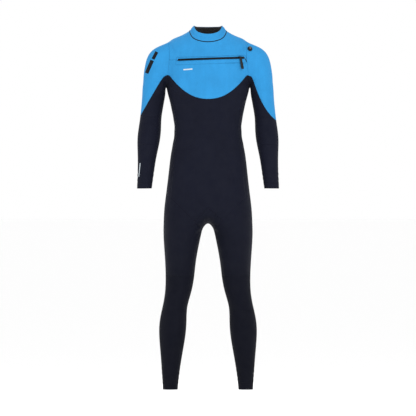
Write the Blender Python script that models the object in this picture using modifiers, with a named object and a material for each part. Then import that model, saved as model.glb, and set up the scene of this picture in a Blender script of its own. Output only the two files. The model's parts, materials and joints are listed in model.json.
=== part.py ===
"""Full-length wetsuit with a chest zip, hanging filled out as if worn.

Frame: +X is the wearer's left, -Y the front, +Z up. The origin is under the middle of the
suit, at the height of the ankle hems. Units are metres.

The outer skin is one coarse cage of rows and rings, smoothed by subdivision. Seam lines are
cut into that skin, and each region between seams becomes one panel: a closed shell as thick
as the neoprene, held a hair short of its neighbours.
"""
import math

import bmesh
import bpy
import numpy as np
from mathutils import Matrix, Vector
from mathutils.bvhtree import BVHTree

NEOPRENE = 0.0030  # thickness of the suit's skin
SEAM_INSET = 0.0002  # each panel stops this far short of the seam line
CAGE_LEVELS = 1  # subdivisions of the cage

# Torso rows, crotch to collar: front centre (y, z), side (x, y, z), back centre (y, z), and how
# the row's height runs from the centre to the side (1 is a tilted plane, 2 a softer dish).
TORSO_ROWS = [
    ((-0.082, 0.690), (0.1770, 0.000, 0.672), (0.099, 0.692), 2),  # leg tops
    ((-0.100, 0.735), (0.1745, 0.003, 0.722), (0.114, 0.742), 2),  # seat
    ((-0.103, 0.790), (0.1670, 0.004, 0.788), (0.113, 0.795), 2),  # hips
    ((-0.101, 0.868), (0.1575, 0.000, 0.868), (0.093, 0.870), 2),  # belly
    ((-0.100, 0.952), (0.1465, -0.005, 0.952), (0.075, 0.952), 2),
    ((-0.099, 1.036), (0.1337, -0.009, 1.036), (0.069, 1.036), 2),  # waist
    ((-0.105, 1.108), (0.1437, -0.006, 1.112), (0.083, 1.112), 2),  # ribs
    ((-0.112, 1.156), (0.1565, -0.002, 1.166), (0.096, 1.164), 2),
    ((-0.117, 1.196), (0.1660, 0.006, 1.206), (0.106, 1.208), 2),  # armpits
    ((-0.091, 1.335), (0.1530, 0.006, 1.3925), (0.094, 1.371), 1.5),  # shoulder tops
    ((-0.078, 1.364), (0.1120, 0.010, 1.4135), (0.084, 1.402), 1.2),
    ((-0.066, 1.389), (0.0740, 0.012, 1.4345), (0.074, 1.428), 1),  # neck seam
    ((-0.056, 1.405), (0.0655, 0.013, 1.4445), (0.069, 1.441), 1),
    ((-0.046, 1.421), (0.0556, 0.014, 1.4545), (0.063, 1.452), 1),  # collar edge
]
ARMPIT_ROW = 8
NECK_ROW = 11
# The three rows beside each armhole: front centre (y, z), front and back points of the
# armhole (x, y, z), back centre (y, z).
ARMHOLE_ROWS = [
    ((-0.119, 1.230), (0.163, -0.040, 1.236), (0.164, 0.052, 1.240), (0.112, 1.250)),
    ((-0.114, 1.264), (0.158, -0.058, 1.288), (0.160, 0.069, 1.292), (0.113, 1.292)),
    ((-0.104, 1.299), (0.154, -0.046, 1.345), (0.156, 0.056, 1.348), (0.106, 1.333)),
]
COLUMNS = 6  # columns of each row from front centre to back centre
SQUARENESS = 0.90  # exponent of the rows' rounded outline (1 is an ellipse)
HOLE_FRACTIONS = (0.40, 0.76)  # columns 1 and 2 beside the armhole, as a part of its x
LEG_TOP_FULLNESS = {1: 1.28, 2: 1.40, 4: 1.24, 5: 1.13}  # row 0: y by column, over the plain outline

# Sleeve rings, shoulder to wrist: inner (x, z), outer (x, z), centre y, half depth.
ARM_RINGS = [
    ((0.1705, 1.186), (0.2050, 1.368), 0.008, 0.0600),
    ((0.1755, 1.158), (0.2410, 1.331), 0.009, 0.0570),
    ((0.1805, 1.128), (0.2570, 1.262), 0.011, 0.0535),
    ((0.1865, 1.085), (0.2635, 1.180), 0.013, 0.0500),
    ((0.1885, 1.040), (0.2720, 1.085), 0.013, 0.0470),
    ((0.1940, 0.990), (0.2815, 1.010), 0.007, 0.0440),
    ((0.2060, 0.930), (0.2810, 0.940), -0.007, 0.0400),
    ((0.2155, 0.868), (0.2812, 0.872), -0.021, 0.0350),
    ((0.2245, 0.804), (0.2836, 0.804), -0.035, 0.0305),
]
# Leg rings, crotch to ankle: z, inner x, outer x, front y, back y.
LEG_RINGS = [
    (0.636, 0.0230, 0.1780, -0.092, 0.092),
    (0.585, 0.0350, 0.1765, -0.090, 0.080),
    (0.515, 0.0478, 0.1720, -0.084, 0.066),
    (0.445, 0.0565, 0.1695, -0.077, 0.056),
    (0.385, 0.0688, 0.1720, -0.070, 0.048),
    (0.330, 0.0830, 0.1815, -0.060, 0.055),
    (0.275, 0.0860, 0.1925, -0.052, 0.066),
    (0.215, 0.0905, 0.1950, -0.045, 0.068),
    (0.140, 0.1030, 0.1898, -0.037, 0.058),
    (0.065, 0.1148, 0.1843, -0.031, 0.048),
    (0.000, 0.1216, 0.1800, -0.029, 0.045),
]
CROTCH = (0.0, 0.006, 0.663)
BODY_SHIFT_Y = 0.0025  # moves the whole suit so that its box is centred on the origin

# Zones where fabric bends at a joint. A slanted zone is measured along its own direction.
SHOULDER_ZONE = ((0.8, -0.6), (0.166, 1.206), 0.060)  # direction (x, z), start (x, z), depth
HIP_ZONE = ((math.sqrt(0.5), -math.sqrt(0.5)), (0.0, 0.618), 0.140)
ELBOW_Z = (1.090, 0.980)
KNEE_Z = (0.455, 0.315)
CUFF_Z = 0.826
ANKLE_CUFF_Z = 0.030

# Seam curves. A torso seam rises from its height at the middle by its rise at the given x.
CHEST_SEAM = (1.160, 0.100, 0.157, 2.2)  # middle z, rise, x, exponent
CHEST_SEAM_TOP = (1.256, 0.004)  # z it levels off at beside the armhole, softness
YOKE_SEAM = (1.222, 0.036, 0.160, 2)
LEFT_SLEEVE_SEAM = (1.030, 0.226, 0.176, 0.006, 0.0608)  # low z, rise, start x, softness, decay
RIGHT_SLEEVE_SEAM = (1.260, 1.72, 0.175, 0.012)  # high z, slope, start x, softness
SIDE_PANEL_FRONT_Y = (-0.050, -0.028)  # below and above the side panel's narrowing
SIDE_PANEL_BACK_Y = (0.054, 0.036)
SIDE_PANEL_NARROWS = (1.05, 1.22)
GUSSET_TOP_Z = 0.728
GUSSET_HALF_WIDTH = 0.090
LEG_SEAM_Y = 0.003
SHOULDER_SEAM_Y = 0.010
SHOULDER_SEAM_Z = 1.34  # the shoulder seam runs above this
BLUE_FLOOR_Z = 1.13  # the chest and yoke seams lie above this
HIP_CEILING_Z = 0.86  # the legs' seams lie below this

LINING_DEPTHS = (NEOPRENE + 0.0004, NEOPRENE + 0.0018)  # under the collar's outer face
BIB = (0.150, 1.235, 1.362)  # the layer behind the zip: half width, lower and upper edge
BIB_DEPTHS = (0.0105, 0.0120)

# The chest zip lies on a shallow cone: an arc of this radius about a nearly upright axis,
# leaning back by ZIP_LEAN and rising towards +X by ZIP_RISE.
ZIP_RADIUS = 0.300
ZIP_CENTRE = (0.0, 0.204, 1.3205)
ZIP_LEAN = math.radians(19)
ZIP_RISE = math.radians(1.95)
ZIP_WINDOW = (-0.130, 0.160, -0.022, 0.010)  # arc start, arc end, lower, upper edge
SLOT = (-0.1240, 0.1520, 0.0062)  # arc start, arc end, half height
TOOTH_PITCH = 0.020
TEETH = (-0.118, 13)  # arc start, number of pitches
SLIDER_ARC = 0.1320
PULL_LENGTH = 0.048
PIN = (-0.0010, 0.0058)  # the pull tab's pin on the slider: up, out
EAR = (0.0061, 0.0079)  # inner and outer faces of the slider's two ears
TEETH_SIZES = (0.0003, 0.0010, 0.0013, 0.0033)  # gap, reach past the middle, root, outer edge
TEETH_OUT = (0.0012, -0.0032)  # outer and inner faces
PIPING = (0.0018, 0.0012, 0.0004)  # half width, height and gap under the neck's piping
CORD_LOCK = (0.167, 1.361)  # x, z on the front of the left shoulder


def clear_scene():
    for obj in list(bpy.data.objects):
        bpy.data.objects.remove(obj, do_unlink=True)


def make_collection(name):
    coll = bpy.data.collections.new(name)
    bpy.context.scene.collection.children.link(coll)
    return coll


def material(name, colour, roughness, metallic=0.0):
    mat = bpy.data.materials.get(name)
    if mat:
        return mat
    mat = bpy.data.materials.new(name)
    mat.use_nodes = True
    shader = mat.node_tree.nodes["Principled BSDF"]
    shader.inputs["Base Color"].default_value = (*colour, 1)
    shader.inputs["Roughness"].default_value = roughness
    shader.inputs["Metallic"].default_value = metallic
    return mat


def add_object(name, mesh, coll, mat):
    obj = bpy.data.objects.new(name, mesh)
    obj.data.materials.clear()
    obj.data.materials.append(mat)
    coll.objects.link(obj)
    return obj


# ---- the cage of the outer skin


def row_point(row, column):
    """A point of a torso row: column 0 is front centre, 3 the side, 6 back centre."""
    (front_y, front_z), (side_x, side_y, side_z), (back_y, back_z), dish = row
    angle = math.pi * column / COLUMNS
    across = math.sin(angle) ** SQUARENESS if 0 < column < COLUMNS else 0.0
    along = abs(math.cos(angle))
    centre_y, centre_z = (front_y, front_z) if column <= COLUMNS / 2 else (back_y, back_z)
    if column == COLUMNS / 2:
        along = 0.0
    y = side_y + (centre_y - side_y) * along ** SQUARENESS
    z = side_z + (centre_z - side_z) * along ** dish
    return (side_x * across, y, z)


def arc_point(centre, hole, fraction):
    """A point on the level arc from a centre line point to an armhole point."""
    centre_y, centre_z = centre
    depth = abs(hole[1] - centre_y)
    radius = (hole[0] ** 2 + depth ** 2) / (2 * depth)
    x = hole[0] * fraction
    drop = radius - math.sqrt(radius ** 2 - x ** 2)
    y = centre_y + math.copysign(drop, hole[1] - centre_y)
    z = centre_z + (hole[2] - centre_z) * fraction ** 2
    return (x, y, z)


def torso_points():
    """Right half of the torso cage, as a dictionary from (row, column) to a point."""
    points = {}
    for index, row in enumerate(TORSO_ROWS):
        name = index if index <= ARMPIT_ROW else index + len(ARMHOLE_ROWS)
        for column in range(COLUMNS + 1):
            points[name, column] = row_point(row, column)
    for column, fullness in LEG_TOP_FULLNESS.items():
        x, y, z = points[0, column]
        points[0, column] = (x, y * fullness, z)
    for step, (front, hole_front, hole_back, back) in enumerate(ARMHOLE_ROWS):
        name = ARMPIT_ROW + 1 + step
        points[name, 0] = (0.0, *front)
        points[name, COLUMNS] = (0.0, *back)
        points[name, "front"] = hole_front
        points[name, "back"] = hole_back
        for column, fraction in enumerate(HOLE_FRACTIONS, 1):
            points[name, column] = arc_point(front, hole_front, fraction)
            points[name, COLUMNS - column] = arc_point(back, hole_back, fraction)
    return points


def arm_point(ring, index):
    (inner_x, inner_z), (outer_x, outer_z), centre_y, half_depth = ring
    angle = math.tau * index / 8
    mix = 0.5 - 0.5 * math.cos(angle)
    x = inner_x + (outer_x - inner_x) * mix
    z = inner_z + (outer_z - inner_z) * mix
    return (x, centre_y - half_depth * math.sin(angle), z)


def leg_point(ring, index):
    z, inner_x, outer_x, front_y, back_y = ring
    angle = math.radians(45 * index - 135)
    x = (inner_x + outer_x) / 2 + (outer_x - inner_x) / 2 * math.cos(angle)
    y = (front_y + back_y) / 2 + (back_y - front_y) / 2 * math.sin(angle)
    return (x, y, z)


def torso_faces():
    """Quads of the right half of the torso, as (corner names, region)."""
    faces = []
    first_hole = ARMPIT_ROW + 1
    last_hole = ARMPIT_ROW + len(ARMHOLE_ROWS)
    last_row = len(TORSO_ROWS) + len(ARMHOLE_ROWS) - 1
    neck = NECK_ROW + len(ARMHOLE_ROWS)
    for row in range(last_row):
        region = "collar" if row >= neck else "torso"
        for column in range(COLUMNS):
            beside = column in (2, 3) and ARMPIT_ROW <= row <= last_hole
            corners = [(row, column), (row, column + 1), (row + 1, column + 1), (row + 1, column)]
            if beside:
                side = "front" if column == 2 else "back"
                for place, (corner_row, corner_column) in enumerate(corners):
                    if corner_column == 3 and first_hole <= corner_row <= last_hole:
                        corners[place] = (corner_row, side)
            faces.append((corners, region))
    return faces


def armhole_loop():
    rows = range(ARMPIT_ROW + 1, ARMPIT_ROW + 1 + len(ARMHOLE_ROWS))
    loop = [(ARMPIT_ROW, 3)]
    loop += [(row, "front") for row in rows]
    loop.append((ARMPIT_ROW + 1 + len(ARMHOLE_ROWS), 3))
    loop += [(row, "back") for row in reversed(rows)]
    return loop


def half_cage():
    """Named points and quads of the wearer's left half."""
    points = torso_points()
    faces = torso_faces()
    points["crotch"] = CROTCH
    previous = armhole_loop()
    for number, ring in enumerate(ARM_RINGS):
        names = [("arm", number, index) for index in range(8)]
        points.update({name: arm_point(ring, name[2]) for name in names})
        for index in range(8):
            after = (index + 1) % 8
            faces.append(([names[index], names[after], previous[after], previous[index]], "arm"))
        previous = names
    previous = [(0, column) for column in range(COLUMNS + 1)] + ["crotch"]
    for number, ring in enumerate(LEG_RINGS):
        names = [("leg", number, index) for index in range(8)]
        points.update({name: leg_point(ring, name[2]) for name in names})
        for index in range(8):
            after = (index + 1) % 8
            faces.append(([names[index], names[after], previous[after], previous[index]], "leg"))
        previous = names
    return points, faces


def full_cage():
    """Vertex positions, quads and regions of both halves."""
    points, faces = half_cage()
    positions, numbers = [], {}
    for side in (1, -1):
        for name, (x, y, z) in points.items():
            if side == -1 and abs(x) < 1e-9:
                numbers[side, name] = numbers[1, name]
                continue
            numbers[side, name] = len(positions)
            positions.append((side * x, y + BODY_SHIFT_Y, z))
    quads, regions = [], []
    for side in (1, -1):
        for corners, region in faces:
            quad = [numbers[side, corner] for corner in corners]
            quads.append(quad if side == 1 else quad[::-1])
            regions.append(region)
    return np.array(positions), quads, regions


def limit_weights(count, quads):
    """Matrix that takes cage points to their places on the smooth skin."""
    edges = {}
    for quad in quads:
        for place in range(4):
            key = tuple(sorted((quad[place], quad[(place + 1) % 4])))
            edges[key] = edges.get(key, 0) + 1
    neighbours = [set() for _ in range(count)]
    rim = [set() for _ in range(count)]
    for (a, b), uses in edges.items():
        neighbours[a].add(b)
        neighbours[b].add(a)
        if uses == 1:
            rim[a].add(b)
            rim[b].add(a)
    weights = np.zeros((count, count))
    for quad in quads:
        for place in range(4):
            weights[quad[place], quad[(place + 2) % 4]] += 1
    for vertex in range(count):
        if rim[vertex]:
            weights[vertex] = 0
            weights[vertex, vertex] = 4 / 6
            weights[vertex, list(rim[vertex])] = 1 / 6
            continue
        valence = len(neighbours[vertex])
        weights[vertex, list(neighbours[vertex])] += 4
        weights[vertex, vertex] += valence ** 2
        weights[vertex] /= valence * (valence + 5)
    return weights


def smooth_skin(levels):
    """The suit's outer skin as a bmesh, each face's material_index giving its region."""
    targets, quads, regions = full_cage()
    weights = limit_weights(len(targets), quads)
    cage = np.linalg.solve(weights, targets)
    mesh = bpy.data.meshes.new("cage")
    mesh.from_pydata(cage.tolist(), [], quads)
    names = sorted(set(regions))
    for polygon, region in zip(mesh.polygons, regions):
        polygon.material_index = names.index(region)
    obj = bpy.data.objects.new("cage", mesh)
    bpy.context.scene.collection.objects.link(obj)
    for _ in names:
        mesh.materials.append(None)
    subsurf = obj.modifiers.new("smooth", "SUBSURF")
    subsurf.levels = subsurf.render_levels = levels
    bpy.context.view_layer.update()
    smooth = obj.evaluated_get(bpy.context.evaluated_depsgraph_get()).to_mesh()
    bm = bmesh.new()
    bm.from_mesh(smooth)
    bpy.data.objects.remove(obj, do_unlink=True)
    bm.normal_update()
    return bm, names


def join_rows(bm):
    """Undo the first subdivision lengthwise, so that rows lie only where the cage has them."""
    bm.faces.ensure_lookup_table()
    between = []
    for first in range(0, len(bm.faces), 4):
        for one, two in ((first, first + 3), (first + 1, first + 2)):
            shared = set(bm.faces[one].edges) & set(bm.faces[two].edges)
            between += shared
    bmesh.ops.dissolve_edges(bm, edges=between, use_verts=False)
    bmesh.ops.dissolve_verts(bm, verts=[v for v in bm.verts if len(v.link_edges) == 2])
    bm.normal_update()


# ---- seam lines


def ramp(value, softness):
    """Zero below zero and value above, with a soft corner."""
    return (value + math.sqrt(value * value + softness * softness)) / 2


def torso_seam(seam, x):
    middle, rise, at, exponent = seam
    return middle + rise * (abs(x) / at) ** exponent


def chest_line(x):
    """Height of the curved seam under the chest panel, level beside the armhole."""
    top, softness = CHEST_SEAM_TOP
    height = torso_seam(CHEST_SEAM, x)
    return height - ramp(height - top, softness)


def yoke_line(x):
    """Height of the seam under the back yoke."""
    return torso_seam(YOKE_SEAM, x)


def sleeve_line(x):
    """Height of the slanted sleeve seam; the left sleeve's runs in a hollower curve."""
    if x > 0:
        low, rise, start, softness, decay = LEFT_SLEEVE_SEAM
        return low + rise * math.exp(-ramp(x - start, softness) / decay)
    high, slope, start, softness = RIGHT_SLEEVE_SEAM
    return high - slope * ramp(abs(x) - start, softness)


def side_edge(ends, z):
    """Y of a side panel's edge, which moves between its two ends where the panel narrows."""
    low, high = SIDE_PANEL_NARROWS
    blend = min(max((z - low) / (high - low), 0), 1)
    return ends[0] + (ends[1] - ends[0]) * blend + BODY_SHIFT_Y


def side_front_y(z):
    return side_edge(SIDE_PANEL_FRONT_Y, z)


def side_back_y(z):
    return side_edge(SIDE_PANEL_BACK_Y, z)


def zone_depth(zone, x, z):
    (dir_x, dir_z), (start_x, start_z), _ = zone
    return dir_x * (abs(x) - start_x) + dir_z * (z - start_z)


def gusset_line(x):
    """Height of the gusset's two slanted upper edges."""
    return GUSSET_TOP_Z - abs(x)


def cut(bm, field, mask, regions):
    """Split the skin's faces along field(co) = 0, where mask(co) holds."""
    faces = [f for f in bm.faces if f.material_index in regions]
    faces = [f for f in faces if mask(f.calc_center_median())]
    values = {v: field(v.co) for f in faces for v in f.verts}
    on_line = {v for v, value in values.items() if abs(value) < 2e-4}
    for edge in dict.fromkeys(e for f in faces for e in f.edges):
        first, second = edge.verts
        if first in on_line or second in on_line or values[first] * values[second] > 0:
            continue
        place = values[first] / (values[first] - values[second])
        _, middle = bmesh.utils.edge_split(edge, first, place)
        on_line.add(middle)
    for face in faces:
        hits = [v for v in face.verts if v in on_line]
        if len(hits) == 2 and not bm.edges.get(hits):
            bmesh.utils.face_split(face, hits[0], hits[1])


def everywhere(_co):
    return True


def near_gusset(co):
    return abs(co.x) < GUSSET_HALF_WIDTH and co.z < GUSSET_TOP_Z + 0.032


def cut_torso(bm, torso):
    front = lambda co: co.y < SHOULDER_SEAM_Y
    back = lambda co: co.y > SHOULDER_SEAM_Y
    high = lambda co: co.z > BLUE_FLOOR_Z
    cut(bm, lambda co: co.y - SHOULDER_SEAM_Y, lambda co: co.z > SHOULDER_SEAM_Z, torso)
    cut(bm, lambda co: co.z - chest_line(co.x), lambda co: front(co) and high(co), torso)
    cut(bm, lambda co: co.z - yoke_line(co.x), lambda co: back(co) and high(co), torso)
    black = lambda co: co.z < (chest_line(co.x) if co.y < 0 else yoke_line(co.x))
    cut(bm, lambda co: co.y - side_front_y(co.z), black, torso)
    cut(bm, lambda co: co.y - side_back_y(co.z), black, torso)
    cut_zip_window(bm, torso)


def cut_zip_window(bm, torso):
    start, end, lower, upper = ZIP_WINDOW
    near = lambda co: co.y < 0 and abs(co.z - ZIP_CENTRE[2]) < 0.06
    beside = lambda co: near(co) and start < zip_place(co)[0] < end
    beyond = lambda co: near(co) and not start < zip_place(co)[0] < end
    for place in (start, end):
        cut(bm, lambda co: zip_place(co)[0] - place, near, torso)
    for place in (lower, upper):
        cut(bm, lambda co: zip_place(co)[1] - place, beside, torso)
    cut(bm, lambda co: zip_place(co)[1], beyond, torso)


def cut_limbs(bm, torso, arm, leg):
    hips = lambda co: co.z < HIP_CEILING_Z
    cut(bm, lambda co: zone_depth(HIP_ZONE, co.x, co.z), hips, torso | leg)
    cut(bm, lambda co: zone_depth(HIP_ZONE, co.x, co.z) - HIP_ZONE[2], everywhere, leg)
    in_hip = lambda co: zone_depth(HIP_ZONE, co.x, co.z) > 0
    cut(bm, lambda co: co.y - LEG_SEAM_Y, lambda co: hips(co) and in_hip(co), torso | leg)
    groin = lambda co: near_gusset(co) and not in_hip(co)
    cut(bm, lambda co: co.z - gusset_line(co.x), groin, torso | leg)
    for height in (*KNEE_Z, ANKLE_CUFF_Z):
        cut(bm, lambda co: co.z - height, everywhere, leg)
    cut(bm, lambda co: co.z - sleeve_line(co.x), lambda co: co.z > ELBOW_Z[0] - 0.02, arm)
    cut(bm, lambda co: zone_depth(SHOULDER_ZONE, co.x, co.z) - SHOULDER_ZONE[2], everywhere, arm)
    for height in (*ELBOW_Z, CUFF_Z):
        cut(bm, lambda co: co.z - height, everywhere, arm)


def torso_panel(co):
    side = "left" if co.x > 0 else "right"
    if zone_depth(HIP_ZONE, co.x, co.z) > 0 and co.z < HIP_CEILING_Z:
        return f"hip_front_{side}" if co.y < LEG_SEAM_Y else f"hip_back_{side}"
    if near_gusset(co) and co.z < gusset_line(co.x):
        return "crotch_gusset"
    if co.y > SHOULDER_SEAM_Y and co.z > yoke_line(co.x):
        return "back_yoke"
    if co.y <= SHOULDER_SEAM_Y and co.z > chest_line(co.x):
        return chest_or_flap(co)
    if side_front_y(co.z) < co.y < side_back_y(co.z):
        return f"side_panel_{side}"
    return "torso_front" if co.y < 0 else "torso_back"


def chest_or_flap(co):
    start, end, lower, upper = ZIP_WINDOW
    along, up = zip_place(co)
    if start < along < end and co.y < 0 and lower < up < upper:
        return None
    return "neck_flap" if up > 0 else "chest_panel"


def arm_panel(co):
    side = "left" if co.x > 0 else "right"
    if co.z < CUFF_Z:
        return f"wrist_cuff_{side}"
    if co.z < ELBOW_Z[1]:
        return f"forearm_{side}"
    if co.z < ELBOW_Z[0]:
        return f"elbow_{side}"
    blue = co.z > sleeve_line(co.x)
    if zone_depth(SHOULDER_ZONE, co.x, co.z) < SHOULDER_ZONE[2]:
        return f"shoulder_cap_{side}" if blue else f"underarm_{side}"
    return f"upper_sleeve_outer_{side}" if blue else f"upper_sleeve_inner_{side}"


def leg_panel(co):
    side = "left" if co.x > 0 else "right"
    depth = zone_depth(HIP_ZONE, co.x, co.z)
    if depth < 0:
        return torso_panel(co)
    front = co.y < LEG_SEAM_Y
    if co.z < ANKLE_CUFF_Z:
        return f"ankle_cuff_{side}"
    if co.z < KNEE_Z[1]:
        return f"shin_{side}" if front else f"calf_{side}"
    if co.z < KNEE_Z[0]:
        return f"knee_pad_{side}" if front else f"knee_back_{side}"
    if depth > HIP_ZONE[2]:
        return f"thigh_front_{side}" if front else f"thigh_back_{side}"
    return f"hip_front_{side}" if front else f"hip_back_{side}"


def label_faces(bm, names):
    """Panel name to its faces on the cut skin."""
    panels = {}
    choose = {"torso": torso_panel, "arm": arm_panel, "leg": leg_panel}
    for face in bm.faces:
        region = names[face.material_index]
        co = face.calc_center_median()
        name = "collar" if region == "collar" else choose[region](co)
        if name:
            panels.setdefault(name, []).append(face)
    return panels


# ---- shells


def pull_in(vert, face_set):
    """Direction along the skin, from a panel's edge into the panel."""
    total = Vector()
    for edge in vert.link_edges:
        inside = [f for f in edge.link_faces if f in face_set]
        if len(inside) != 1:
            continue
        along = (edge.other_vert(vert).co - vert.co).normalized()
        inward = inside[0].normal.cross(along)
        centre = inside[0].calc_center_median() - vert.co
        total += inward if inward.dot(centre) > 0 else -inward
    return total.normalized() if total.length > 1e-9 else total


def shell(name, faces, outer, inner, inset=SEAM_INSET):
    """A closed shell between two depths under the given faces of the skin."""
    face_set = set(faces)
    bm = bmesh.new()
    top, bottom = {}, {}
    for vert in dict.fromkeys(v for f in faces for v in f.verts):
        normal = vert.normal.copy()
        if vert.is_boundary:
            normal.z = 0 if vert.co.z < 1.0 else normal.z
            normal.normalize()
        at_seam = any(f not in face_set for f in vert.link_faces)
        place = vert.co + (pull_in(vert, face_set) * inset if at_seam else Vector())
        top[vert] = bm.verts.new(place - normal * outer)
        bottom[vert] = bm.verts.new(place - normal * inner)
    for face in faces:
        bm.faces.new([top[v] for v in face.verts])
        bm.faces.new([bottom[v] for v in reversed(face.verts)])
        for loop in face.loops:
            if sum(f in face_set for f in loop.edge.link_faces) == 1:
                a, b = loop.vert, loop.link_loop_next.vert
                rim = [top[b], top[a], bottom[a], bottom[b]]
                turn = 0 if a.index < b.index else 1
                rim = rim[turn:] + rim[:turn]
                bm.faces.new(rim[:3])
                bm.faces.new([rim[0], rim[2], rim[3]])
    bmesh.ops.triangulate(bm, faces=[f for f in bm.faces if len(f.verts) > 4])
    mesh = bpy.data.meshes.new(name)
    bm.to_mesh(mesh)
    bm.free()
    return mesh


def panel_material(name):
    blue = ("collar", "neck_flap", "chest_panel", "back_yoke", "shoulder_cap", "upper_sleeve_outer")
    if name.startswith(blue):
        return material("blue_jersey", (0.042, 0.352, 0.760), 0.7)
    if name.startswith(("knee", "shin", "calf", "ankle")):
        return material("lower_black_jersey", (0.008, 0.009, 0.016), 0.75)
    return material("black_jersey", (0.014, 0.015, 0.027), 0.75)


def make_panels(bm, names, coll):
    panels = label_faces(bm, names)
    for name, faces in sorted(panels.items()):
        add_object(name, shell(name, faces, 0.0, NEOPRENE), coll, panel_material(name))
    lining = shell("collar_lining", panels["collar"], *LINING_DEPTHS)
    add_object("collar_lining", lining, coll, material("black_lining", (0.004, 0.004, 0.005), 0.6))
    bib = [f for f in bm.faces if is_bib(f.calc_center_median())]
    bib_mesh = shell("inner_bib", bib, *BIB_DEPTHS)
    add_object("inner_bib", bib_mesh, coll, material("smooth_skin", (0.01, 0.01, 0.012), 0.35))
    return panels


def is_bib(co):
    half_width, low, high = BIB
    return co.y < -0.03 and abs(co.x) < half_width and low < co.z < high


def make_neck_piping(panels, coll):
    """A narrow bound edge that rings the neck seam, just proud of both panels."""
    seam = collar_rim(panels["collar"])
    half_width, proud, gap = PIPING
    rings = []
    for place, vert in enumerate(seam):
        ahead = seam[(place + 1) % len(seam)].co - seam[place - 1].co
        across = vert.normal.cross(ahead).normalized()
        base = vert.co + vert.normal * gap
        rings.append([
            base - across * half_width,
            base + across * half_width,
            base + across * half_width * 0.6 + vert.normal * proud,
            base - across * half_width * 0.6 + vert.normal * proud,
        ])
    mesh = loft("neck_piping", rings, closed=True)
    add_object("neck_piping", mesh, coll, material("black_tape", (0.004, 0.004, 0.006), 0.6))


def collar_rim(faces):
    """The verts of the neck seam, in order round the neck."""
    face_set = set(faces)
    verts = {v for f in faces for v in f.verts}
    rim = {v for v in verts if any(f not in face_set for f in v.link_faces)}
    order = [min(rim, key=lambda v: v.index)]
    while len(order) < len(rim):
        nexts = [e.other_vert(order[-1]) for e in order[-1].link_edges]
        order.append(next(v for v in nexts if v in rim and v not in order))
    return order


def loft(name, rings, closed=False):
    """A solid through equal rings of points, capped at its ends unless it closes on itself."""
    bm = bmesh.new()
    rows = [[bm.verts.new(point) for point in ring] for ring in rings]
    pairs = list(zip(rows, rows[1:]))
    if closed:
        pairs.append((rows[-1], rows[0]))
    else:
        bm.faces.new(rows[0])
        bm.faces.new(rows[-1][::-1])
    for one, two in pairs:
        for place in range(len(one)):
            after = (place + 1) % len(one)
            bm.faces.new([one[after], one[place], two[place], two[after]])
    bmesh.ops.recalc_face_normals(bm, faces=bm.faces)
    mesh = bpy.data.meshes.new(name)
    bm.to_mesh(mesh)
    bm.free()
    return mesh


# ---- the chest zip


def zip_place(co):
    """Arc length along the zip and height up its cone of a point near it."""
    centre = Vector(ZIP_CENTRE) + Vector((0, BODY_SHIFT_Y, 0))
    flat = Matrix.Rotation(ZIP_RISE, 3, "Y") @ (Vector(co) - centre)
    beyond = math.hypot(flat.x, flat.y) - ZIP_RADIUS
    along = ZIP_RADIUS * math.atan2(flat.x, -flat.y)
    return along, flat.z * math.cos(ZIP_LEAN) - beyond * math.sin(ZIP_LEAN)


def on_zip(along, up, out):
    """A point by its arc length along the zip, its height up the cone and out from it."""
    angle = along / ZIP_RADIUS
    radius = ZIP_RADIUS + out * math.cos(ZIP_LEAN) - up * math.sin(ZIP_LEAN)
    flat = Vector((radius * math.sin(angle), -radius * math.cos(angle),
                   up * math.cos(ZIP_LEAN) + out * math.sin(ZIP_LEAN)))
    centre = Vector(ZIP_CENTRE) + Vector((0, BODY_SHIFT_Y, 0))
    return centre + Matrix.Rotation(-ZIP_RISE, 3, "Y") @ flat


def zip_frame(along):
    """Matrix whose X runs along the zip, Y up it and Z out of it."""
    origin = on_zip(along, 0, 0)
    x_axis = (on_zip(along + 0.001, 0, 0) - on_zip(along - 0.001, 0, 0)).normalized()
    y_axis = (on_zip(along, 0.001, 0) - on_zip(along, -0.001, 0)).normalized()
    z_axis = x_axis.cross(y_axis)
    matrix = Matrix((x_axis, y_axis, z_axis)).transposed().to_4x4()
    matrix.translation = origin
    return matrix


def zip_plate(name, alongs, ups, keep, outer, inner):
    """A curved plate on the zip's cone, made of the grid cells that keep allows."""
    bm = bmesh.new()
    verts = {}
    for i, along in enumerate(alongs):
        for j, up in enumerate(ups):
            verts[i, j] = [bm.verts.new(on_zip(along, up, out)) for out in (outer, inner)]
    cells = {(i, j) for i in range(len(alongs) - 1) for j in range(len(ups) - 1) if keep(i, j)}
    for i, j in cells:
        corners = [(i, j), (i + 1, j), (i + 1, j + 1), (i, j + 1)]
        beside = [(i, j - 1), (i + 1, j), (i, j + 1), (i - 1, j)]
        bm.faces.new([verts[c][0] for c in corners])
        bm.faces.new([verts[c][1] for c in reversed(corners)])
        for place, neighbour in enumerate(beside):
            if neighbour not in cells:
                a, b = corners[place], corners[(place + 1) % 4]
                bm.faces.new([verts[b][0], verts[a][0], verts[a][1], verts[b][1]])
    bmesh.ops.delete(bm, geom=[v for v in bm.verts if not v.link_faces], context="VERTS")
    mesh = bpy.data.meshes.new(name)
    bm.to_mesh(mesh)
    bm.free()
    return mesh


def spaced(start, end, step):
    count = max(1, round((end - start) / step))
    return [start + (end - start) * i / count for i in range(count + 1)]


def make_zip_surround(coll):
    """The blue frame sewn round the zip, with a slot for the teeth."""
    start, end, lower, upper = ZIP_WINDOW
    gap = 0.0006
    slot_start, slot_end, slot_half = SLOT
    alongs = [start + gap] + spaced(slot_start, slot_end, 0.016) + [end - gap]
    ups = [lower + gap, -slot_half, slot_half, upper - gap]
    solid = lambda i, j: i in (0, len(alongs) - 2) or j != 1
    mesh = zip_plate("zip_surround", alongs, ups, solid, 0.0, -NEOPRENE)
    add_object("zip_surround", mesh, coll, panel_material("collar"))


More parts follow.
